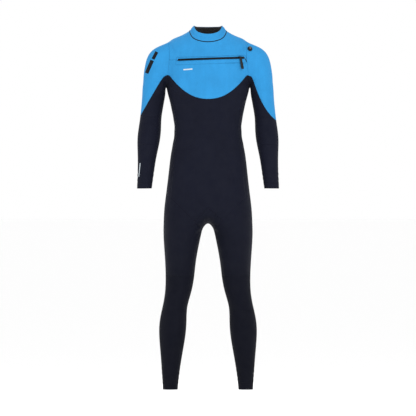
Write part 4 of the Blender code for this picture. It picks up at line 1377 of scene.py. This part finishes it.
def make_zip_surround(tree):
    """The blue frame sewn round the zip; its rolled lips close on the teeth."""
    rings = []
    for (outer_a, outer_u), (inner_a, inner_u) in zip_loop(SLIT_HALF, (150, 14)):
        span = math.hypot(outer_a - inner_a, outer_u - inner_u)
        shares = [(d / span, h) for d, h in SURROUND_OUTER]
        shares += [(1 - d / span, h) for d, h in SURROUND_INNER]
        middle = 1 - SURROUND_INNER[0][0] / span
        step = (middle - shares[2][0]) / 4
        shares[3:3] = [(shares[2][0] + step * i, 0.0) for i in (1, 2, 3)]
        shares += [(1.0, -NEOPRENE), (0.5, -NEOPRENE), (0.0001 / span, -NEOPRENE)]
        ring = []
        rise = skin_over_cone(tree, outer_a, outer_u)
        for share, height in shares:
            along = outer_a + (inner_a - outer_a) * share
            up = outer_u + (inner_u - outer_u) * share
            ring.append(on_zip(along, up, height + rise * (1 - share) ** 1.5))
        rings.append(ring)
    bm = bmesh.new()
    loft(bm, rings, closed=True)
    mesh = mesh_from("zip_surround_fabric", bm)
    co = np.array([v.co[:] for v in mesh.vertices])
    add_point_vectors(mesh, "wrap", knit_directions(co, "chest_panel"))
    # The surround's outer edge is darkened the same way: dark glue and painted shade.
    on_seam = [1.0 if i % len(rings[0]) == 0 else 0.0 for i in range(len(co))]
    add_point_values(mesh, "seam", on_seam)
    obj = add_piece("zip_surround_fabric", mesh, "blue_jersey")
    ride_and_replace(obj, "torso", "blue_jersey", "zip_surround")
    make_surround_stitches()


def zip_line(places):
    """Points and normals along a line of (along, up, lift) places on the surround."""
    rows = []
    for along, up, lift in places:
        point = on_zip(along, up, lift)
        normal = on_zip(along, up, lift + 0.001) - point
        rows.append((*point, *normal.normalized()))
    return rows


def make_surround_stitches():
    """Lockstitch lines beside the slit and beside the surround's upper and lower edges."""
    start, end = SLOT[0] + 0.002, SLOT[1] - 0.002
    beside_slit = SLIT_HALF + 0.0026
    rows = []
    for up in (beside_slit, -beside_slit, ZIP_WINDOW[3] - 0.0018, ZIP_WINDOW[2] + 0.0018):
        line = [(a, up, 0.0002) for a in np.linspace(start, end, 90)]
        places = resample(zip_line(line), STITCH_PITCH)
        rows.append(stitch_row(places, LOCKSTITCH_LENGTH, math.pi / 2, 0.0001))
    add_rows("zip_surround_stitches", rows, "blue_thread", "chest_panel")


# Darts where the slit's ends turn down into the surround: (along, up) paths.
DARTS = {
    "open": ((-0.1205, 0.0), (-0.1235, -0.0006), (-0.1262, -0.0032), (-0.1278, -0.0075)),
    "closed": ((0.1470, 0.0), (0.1515, -0.0010), (0.1545, -0.0050), (0.1566, -0.0110),
               (0.1578, -0.0180)),
}


DART_STEP = 0.0009
DART_HALF_WIDTH = 0.0013
DART_SECTION = ((-1, -0.0008), (-0.9, 0.0005), (-0.35, 0.0010), (0.35, 0.0010), (0.9, 0.0005),
                (1, -0.0008))  # (part of the half width, height over the cone)


def rounded_path(points, rounds=4):
    """The polyline with its corners cut until it is smooth, its ends kept."""
    points = np.asarray(points, dtype=float)
    for _ in range(rounds):
        near = points[:-1] * 0.75 + points[1:] * 0.25
        far = points[:-1] * 0.25 + points[1:] * 0.75
        middle = np.stack([near, far], 1).reshape(-1, points.shape[1])
        points = np.concatenate([points[:1], middle, points[-1:]])
    return points


def make_darts():
    """Narrow taped ends of the slit, bonded over the surround."""
    bm = bmesh.new()
    for path in DARTS.values():
        at = resample([(*p, 0.0) for p in rounded_path(path)], DART_STEP)
        heading = np.gradient(at, axis=0)
        rings = []
        for number, ((along, up, _), (da, du, _)) in enumerate(zip(at, heading)):
            size = math.hypot(da, du)
            side = (-du / size, da / size)
            taper = min(1.0, 0.35 + 0.2 * (len(at) - 1 - number))
            ring = []
            for share, out in DART_SECTION:
                width = share * DART_HALF_WIDTH * taper
                ring.append(on_zip(along + side[0] * width, up + side[1] * width, out))
            rings.append(ring)
        loft(bm, rings)
    trim_piece("zip_end_darts", bm, "black_tape", "torso", sharp=None)


def make_tapes():
    """Woven tapes behind the surround, each with a rolled edge that holds its teeth."""
    alongs = np.linspace(SLOT[0] - 0.003, SLOT[1] + 0.003, 110)
    for name, sign, width in (("upper", 1, 0.0090), ("lower", -1, 0.0150)):
        profile = [(0.0003, -0.0030), (0.0012, -0.0024), (0.0024, -0.0030), (0.0030, -0.0036),
                   (width, -0.0036), (width, -0.0046), (0.0003, -0.0046)]
        rings = [[on_zip(a, sign * up, out) for up, out in profile] for a in alongs]
        bm = bmesh.new()
        loft(bm, rings)
        node = f"zip_tape_{name}"
        trim_piece(node + "_woven", bm, "black_tape", "torso", [node])


FINE_TOOTH_PITCH = 0.0029
# Half outline of one tooth, root to tip: (half width, reach towards the other row).
TOOTH = ((0.00085, -0.0034), (0.00085, -0.0018), (0.00050, -0.0008), (0.00085, 0.0003),
         (0.00060, 0.0009), (0.00020, 0.0011))


TOOTH_LAYERS = ((-0.0026, 0.9, 1), (0.0008, 1.0, 1), (0.0012, 0.72, 0.9))  # out, width, reach


def make_teeth():
    """Moulded teeth in two interlocking rows."""
    length = TEETH[1] * TOOTH_PITCH
    count = int(length / FINE_TOOTH_PITCH)
    outline = [(w, r) for w, r in TOOTH] + [(-w, r) for w, r in reversed(TOOTH)]
    for name, sign, shift in (("upper", -1, 0.25), ("lower", 1, 0.75)):
        bm = bmesh.new()
        for number in range(count):
            centre = TEETH[0] + FINE_TOOTH_PITCH * (number + shift)
            rings = []
            for out, size, reach in TOOTH_LAYERS:
                rings.append([on_zip(centre + w * size, sign * r * reach, out)
                              for w, r in outline])
            loft(bm, rings)
        node = f"zip_teeth_{name}"
        trim_piece(node + "_moulded", bm, "black_plastic", "torso", [node])


STOP_HALF_HEIGHT = 0.0040
STOP_LAYERS = ((-0.0030, 1.0), (0.0009, 1.0), (0.0014, 0.93), (0.0016, 0.8))  # (out, size)


def make_stops():
    after_teeth = TEETH[0] + TEETH[1] * TOOTH_PITCH
    spans = {"zip_stop_open_end": (SLOT[0] + 0.0008, TEETH[0] - 0.0004),
             "zip_stop_closed_end": (after_teeth + 0.0004, SLOT[1] - 0.0008)}
    for name, (start, end) in spans.items():
        rings = []
        middle, half = (start + end) / 2, (end - start) / 2
        for out, size in STOP_LAYERS:
            corner = min(half, STOP_HALF_HEIGHT) * 0.5
            points = rounded_box(half * size, STOP_HALF_HEIGHT * size, corner * size)
            rings.append([on_zip(middle + u, v, out) for u, v in points])
        bm = bmesh.new()
        loft(bm, rings)
        trim_piece(name + "_moulded", bm, "black_plastic", "torso", [name], 40)


PIN = (-0.0010, 0.0058)  # the pull tab's pin on the slider: up, out
PIN_RADIUS = 0.0009
EAR = (0.0061, 0.0079)  # inner and outer faces of the slider's two ears
# The slider's plates, as (distance out, size) of each outline.
TOP_PLATE = ((0.0014, 0.93), (0.0018, 1.0), (0.0032, 1.0), (0.0038, 0.93), (0.0040, 0.8))
BOTTOM_PLATE = ((-0.0040, 0.82), (-0.0036, 0.9), (-0.0029, 0.9), (-0.0027, 0.85))


def slider_plate(bm, layers, nose):
    """A plate whose front end narrows, through (out, size) layers."""
    rings = []
    for out, size in layers:
        ring = []
        for u, v in rounded_box(0.0085 * size, 0.0050 * size, 0.0028 * size, 5):
            narrow = 1 - nose * fade(u, 0.001, 0.0085)
            ring.append((u, v * float(narrow), out))
        rings.append(ring)
    loft(bm, rings)


def make_slider():
    """Cast slider: top and bottom plates, a bridge, and two ears with the pin's holes."""
    bm = bmesh.new()
    slider_plate(bm, TOP_PLATE, 0.3)
    slider_plate(bm, BOTTOM_PLATE, 0.25)
    bridge = rounded_box(0.0012, 0.0034, 0.0005)
    loft(bm, [[(x, v, o) for v, o in bridge] for x in (0.0035, 0.0075)])
    for side in (-1, 1):
        xs = [side * x for x in (EAR[0], EAR[0] + 0.0003, EAR[1] - 0.0003, EAR[1])]
        sizes = (0.9, 1.0, 1.0, 0.9)
        rings = []
        for x, size in zip(xs, sizes):
            ring = [(x, PIN[0] + 0.0024 * size * math.cos(a), PIN[1] + 0.0023 * size * math.sin(a))
                    for a in np.linspace(0, math.pi, 13)]
            ring += [(x, PIN[0] - 0.0027 * size, 0.0036), (x, PIN[0] + 0.0027 * size, 0.0036)]
            rings.append(ring)
        loft(bm, rings)
    trim_piece("zip_slider_cast", bm, "black_metal", "zip_slider", ["zip_slider"], 38,
               zip_frame(SLIDER_ARC))


# The pull tab by distance below its pin: half width and half thickness.
TAB_PROFILE = ((-0.0016, 0.0030, 0.0008), (-0.0009, 0.0044, 0.0012), (0.0006, 0.0050, 0.0013),
               (0.0030, 0.0048, 0.0010), (0.0090, 0.0043, 0.0009), (0.0210, 0.0044, 0.0010),
               (0.0240, 0.0053, 0.0011), (0.0460, 0.0056, 0.0011), (0.0475, 0.0050, 0.0010),
               (0.0484, 0.0034, 0.0007))
GRIP = (0.0265, 0.0445, 6)  # ribbed grip: start, end, number of ribs


def make_pull_tab():
    """Moulded tab with a ribbed grip, and the steel pin it swings on."""
    below, widths, thicks = zip(*TAB_PROFILE)
    bm = bmesh.new()
    rings = []
    for down in np.linspace(below[0], below[-1], 130):
        width = float(np.interp(down, below, widths))
        thick = float(np.interp(down, below, thicks))
        start, end, ribs = GRIP
        if start < down < end:
            wave = math.sin(math.pi * ribs * (down - start) / (end - start)) ** 2
            thick += 0.00045 * wave
        corner = min(thick, width) * 0.7
        rings.append([(u, PIN[0] - down, PIN[1] + v) for u, v in rounded_box(width, thick, corner)])
    loft(bm, rings)
    trim_piece("pull_tab_moulded", bm, "pull_rubber", "pull_tab", ["pull_tab"], 50,
               zip_frame(SLIDER_ARC))
    make_pin()


def make_pin():
    bm = bmesh.new()
    rings = []
    half = EAR[1] + 0.0004
    for x, size in ((-half, 0.7), (-half + 0.0002, 1.0), (half - 0.0002, 1.0), (half, 0.7)):
        radius = PIN_RADIUS * size
        rings.append([(x, PIN[0] + radius * math.cos(a), PIN[1] + radius * math.sin(a))
                      for a in np.linspace(0, math.tau, 16, endpoint=False)])
    loft(bm, rings)
    trim_piece("pull_tab_pin", bm, "black_metal", "pull_tab", matrix=zip_frame(SLIDER_ARC))


# ---- collar, bib and cord lock


def seam_run(bm, labels, one, two):
    """Longest run of skin vertices along the seam between two sets of panels."""
    edges = []
    for edge in bm.edges:
        sides = [labels[f] for f in edge.link_faces]
        if len(sides) == 2 and (sides[0] in one) != (sides[1] in one):
            if {sides[0], sides[1]} & set(two) and {sides[0], sides[1]} & set(one):
                edges.append(edge)
    return max(chains(edges), key=len)


PIPING = (0.0022, 0.0011)  # half width, height over the skin
PIPING_STEP = 0.0030
PIPING_SECTION = ((-1.0, -0.5), (-0.95, 0.3), (-0.55, 0.85), (0.0, 1.0), (0.55, 0.85),
                  (0.95, 0.3), (1.0, -0.5))  # (side, height), as parts of the half width, height


def make_neck_piping(bm, labels):
    """Bound edge round the neck seam."""
    run = seam_run(bm, labels, ("collar",), ("neck_flap", "back_yoke"))
    rows = [(*v.co, *v.normal) for v in run]
    places = resample(rows, PIPING_STEP)
    at, normal = places[:, :3], places[:, 3:6]
    along = np.roll(at, -1, 0) - np.roll(at, 1, 0)
    across = np.cross(normal, along)
    across /= np.linalg.norm(across, axis=1)[:, None]
    half, tall = PIPING
    rings = [[a + c * s * half + n * h * tall for s, h in PIPING_SECTION]
             for a, n, c in zip(at, normal, across)]
    bm_piping = bmesh.new()
    loft(bm_piping, rings, closed=True)
    trim_piece("neck_piping_tape", bm_piping, "black_tape", "torso", ["neck_piping"], None)


LINING_DEPTHS = (NEOPRENE + 0.0004, NEOPRENE + 0.0018)  # under the collar's outer face
BIB = (0.148, 1.238, 1.358)  # half width, lower and upper edge
BIB_DEPTHS = (0.0105, 0.0120)
BIB_MARGIN = 0.010  # kept round the bib until its edges are cut


def inner_layer(name, finish, node, mesh):
    """A layer of one finish on both sides, fixed to the torso."""
    for _ in range(2):
        mesh.materials.append(MATERIALS[finish])
    ride_and_replace(link(name, mesh), "torso", finish, node)


def make_lining(panels, labels):
    name = "collar_lining_knit"
    mesh = shell_mesh(name, "collar", panels["collar"], labels, *LINING_DEPTHS)
    inner_layer(name, "black_lining", "collar_lining", mesh)


def make_bib(skin):
    """The second, inner layer behind the zip."""
    half, low, high = BIB
    bm = skin.copy()

    def trim(margin):
        outside = []
        for face in bm.faces:
            x, y, z = face.calc_center_median()
            if abs(x) > half + margin or not low - margin < z < high + margin or y > -0.02:
                outside.append(face)
        bmesh.ops.delete(bm, geom=outside, context="FACES")

    trim(BIB_MARGIN)
    every = {f.material_index for f in bm.faces}
    locked = set()
    for field in (lambda x, y, z: np.abs(x) - half, lambda x, y, z: z - low,
                  lambda x, y, z: z - high):
        cut(bm, field, everywhere, every, locked)
    trim(0.0)
    bm.normal_update()
    labels = {f: "inner_bib" for f in bm.faces}
    name = "inner_bib_sheet"
    mesh = shell_mesh(name, "inner_bib", bm.faces[:], labels, *BIB_DEPTHS)
    inner_layer(name, "smooth_skin", "inner_bib", mesh)


def turned_rings(profile, steps, flute, flutes):
    """Rings of points from (radius, height) rows; flutes cut shallow grooves down the side."""
    rings = []
    for radius, height in profile:
        ring = []
        for step in range(steps):
            angle = math.tau * step / steps
            deep = 1 - flute * (0.5 - 0.5 * math.cos(flutes * angle))
            ring.append((radius * deep * math.cos(angle), radius * deep * math.sin(angle), height))
        rings.append(ring)
    return rings


# Turned outlines of the lock, as (radius, height) from the rim to the middle.
HOUSING = ((0.0112, 0.0), (0.0119, 0.0004), (0.0120, 0.0018), (0.0116, 0.0030), (0.0108, 0.0042),
           (0.0098, 0.0052), (0.0086, 0.0058), (0.0076, 0.0060), (0.0060, 0.0060),
           (0.0053, 0.0057), (0.0051, 0.0050), (0.0051, 0.0012), (0.0020, 0.0010))
BUTTON = ((0.0030, 0.0040), (0.0045, 0.0041), (0.0046, 0.0046), (0.0046, 0.0074),
          (0.0043, 0.0081), (0.0036, 0.0085), (0.0026, 0.0085), (0.0020, 0.0082),
          (0.0010, 0.0081))


def make_cord_lock(press):
    """Oval spring lock on the left shoulder, its button and its spring."""
    matrix = lock_frame(press)
    for name, profile, finish, flute, body in (
            ("cord_lock_housing", HOUSING, "black_plastic", 0.03, "torso"),
            ("cord_lock_button", BUTTON, "button_grey", 0.05, "cord_lock_button")):
        bm = bmesh.new()
        loft(bm, turned_rings(profile, 72, flute, 18))
        trim_piece(name + "_moulded", bm, finish, body, [name], 40, matrix)
    make_spring(matrix)


def lock_frame(press):
    """Axes of the lock: out of the skin along its press joint, tilted like the CAD model."""
    low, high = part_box("cord_lock_housing")
    normal = -Vector(press["axis"]).normalized()
    x_axis = Vector((0, 0, 1)).cross(normal).normalized()
    matrix = Matrix((x_axis, normal.cross(x_axis), normal)).transposed().to_4x4()
    matrix.translation = (Vector(low) + Vector(high)) / 2 - normal * 0.0030
    tilt = Matrix.Rotation(math.radians(-15), 4, "Z")
    return matrix @ tilt @ Matrix.Diagonal((0.85, 1, 1, 1))


def make_spring(matrix):
    turns, per_turn, radius, low, high, wire = 3, 24, 0.0030, 0.00135, 0.00365, 0.00025
    rings = []
    for step in range(turns * per_turn + 1):
        angle = math.tau * step / per_turn
        height = low + (high - low) * step / (turns * per_turn)
        outward = Vector((math.cos(angle), math.sin(angle), 0))
        centre = outward * radius + Vector((0, 0, height))
        rings.append([centre + (outward * math.cos(a) + Vector((0, 0, math.sin(a)))) * wire
                      for a in np.linspace(0, math.tau, 8, endpoint=False)])
    bm = bmesh.new()
    loft(bm, rings)
    obj = trim_piece("cord_lock_spring_wire", bm, "spring_steel", "torso",
                     ["cord_lock_spring"], None, matrix)
    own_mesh(obj)


# ---- plain prints that stand where the suit carries its marks


# Each print: centre, direction it faces (degrees round from the front, towards +X), length,
# width, slant from level in degrees, finish and panel.
PRINTS = {
    "shoulder_bar_long": ((-0.2340, -0.04, 1.2900), 0, 0.0560, 0.0150, 66, "print_black",
                          "sleeve_outer_right"),
    "shoulder_bar_short": ((-0.2120, -0.04, 1.3350), 0, 0.0330, 0.0130, 62, "print_black",
                           "sleeve_outer_right"),
    "chest_dash": ((-0.0800, -0.10, 1.2780), 0, 0.0360, 0.0050, 4, "print_pale", "chest_panel"),
    "wrist_dash": ((-0.2740, -0.04, 0.8780), -42, 0.0540, 0.0042, 88, "print_pale",
                   "forearm_right"),
}
PRINT_LIFT = 0.0002


def make_print(name, tree, centre, facing, length, width, slant, finish, panel):
    """A thin printed bar laid on the skin from the direction it faces."""
    turn, around = math.radians(slant), math.radians(facing)
    outward = Vector((math.sin(around), -math.cos(around), 0))
    level = Vector((math.cos(around), math.sin(around), 0))
    across_count, along_count = 5, max(6, int(length / 0.003))
    grid = []
    for i in range(along_count + 1):
        row = []
        for j in range(across_count + 1):
            u = length * (i / along_count - 0.5)
            v = width * (j / across_count - 0.5)
            start = Vector(centre) + outward * 0.2
            start += level * (u * math.cos(turn) - v * math.sin(turn))
            start.z += u * math.sin(turn) + v * math.cos(turn)
            place, normal, _, _ = tree.ray_cast(start, -outward)
            row.append((place, normal))
        grid.append(row)
    rings = []
    for row in grid:
        ring = [place + normal * PRINT_LIFT for place, normal in row]
        ring += [place - normal * PRINT_LIFT for place, normal in reversed(row)]
        rings.append(ring)
    bm = bmesh.new()
    loft(bm, rings)
    mesh = mesh_from(name, bm)
    mesh.set_sharp_from_angle(angle=math.radians(60))
    obj = add_piece(name, mesh, finish)
    attach(obj, panel)


def make_hem_stitches(bm, tree):
    """A row of stitches above each ankle's and wrist's end."""
    for side, sign in (("left", 1), ("right", -1)):
        for panel, (low, high) in (("ankle_cuff", (-0.01, 0.01)), ("wrist_cuff", (0.78, 0.82))):
            edges = [e for e in bm.edges if e.is_boundary and low < e.verts[0].co.z < high
                     and e.verts[0].co.x * sign > 0]
            run = max(chains(edges), key=len)
            rows = []
            for vert in run:
                place, normal, _, _ = tree.find_nearest(vert.co + Vector((0, 0, HEM_STITCH_RISE)))
                rows.append((*place, *normal))
            places = resample(rows, STITCH_PITCH)
            stitches = [stitch_row(places, HEM_STITCH_LENGTH, math.pi / 2 - 0.15, 0.0)]
            add_rows(f"{panel}_{side}_hem_stitches", stitches, "black_thread",
                     f"{panel}_{side}")


# ---- floor, light and camera


CAMERA_DISTANCE = 23.1
CAMERA_HEIGHT = 0.726
FLOOR_DROP = 0.10  # of the floor under the hems, as the suit hangs
FLOOR_RADIUS = 400
LIT_POINT = Vector((0, 0, 0.8))
# Name, place, width in metres and power in watts of each light.
LIGHTS = (("key", (2.0, -4.4, 3.2), 2.2, 95), ("fill", (-3.0, -3.6, 1.2), 2.5, 22),
          ("back", (-1.0, 4.0, 3.0), 2.2, 70))


def area_light(name, place, size, power):
    """A soft square light that faces the middle of the suit."""
    data = bpy.data.lights.new(name, "AREA")
    data.energy = power
    data.size = size
    obj = link(name, data)
    obj.location = place
    obj.rotation_euler = (LIT_POINT - Vector(place)).to_track_quat("-Z", "Y").to_euler()


def make_stage():
    bm = bmesh.new()
    bmesh.ops.create_circle(bm, cap_ends=True, segments=96, radius=FLOOR_RADIUS)
    mesh = bpy.data.meshes.new("floor")
    bm.to_mesh(mesh)
    bm.free()
    floor = link("floor", mesh)
    floor.location.z = -FLOOR_DROP
    mesh.materials.append(Graph("floor_pale", (0.985, 0.985, 0.985), 0.9).material)
    world = bpy.data.worlds.new("studio")
    bpy.context.scene.world = world
    world.use_nodes = True
    background = world.node_tree.nodes["Background"]
    background.inputs["Color"].default_value = (1, 1, 1, 1)
    background.inputs["Strength"].default_value = 1.0
    for name, place, size, power in LIGHTS:
        area_light(name, place, size, power)


def make_camera():
    data = bpy.data.cameras.new("camera")
    data.sensor_width = 36
    data.lens = 500
    data.clip_end = 1000
    camera = link("camera", data)
    camera.location = (0, -CAMERA_DISTANCE, CAMERA_HEIGHT)
    camera.rotation_euler = (math.radians(90), 0, 0)
    bpy.context.scene.camera = camera
    bpy.context.scene.view_settings.view_transform = "Standard"


def main():
    skin, names = folded_skin(SKIN_LEVELS)
    region = {name: {names.index(name)} for name in names}
    tree = BVHTree.FromBMesh(skin)
    make_bib(skin)
    locked = {v for v in skin.verts if v.is_boundary
              or len({f.material_index for f in v.link_faces}) > 1}
    cut_torso(skin, region["torso"], locked)
    cut_limbs(skin, region["torso"], region["arm"], region["leg"], locked)
    skin.normal_update()
    panels, labels = make_panels(skin, names)
    make_stitches(skin, labels)
    make_hem_stitches(skin, tree)
    make_neck_piping(skin, labels)
    make_lining(panels, labels)
    make_zip_surround(tree)
    make_darts()
    make_tapes()
    make_teeth()
    make_stops()
    make_slider()
    make_pull_tab()
    make_cord_lock(next(j for j in frame["joints"] if j["name"] == "cord_lock_press"))
    for name, settings in PRINTS.items():
        make_print(name, tree, *settings)
    make_stage()
    make_camera()


main()
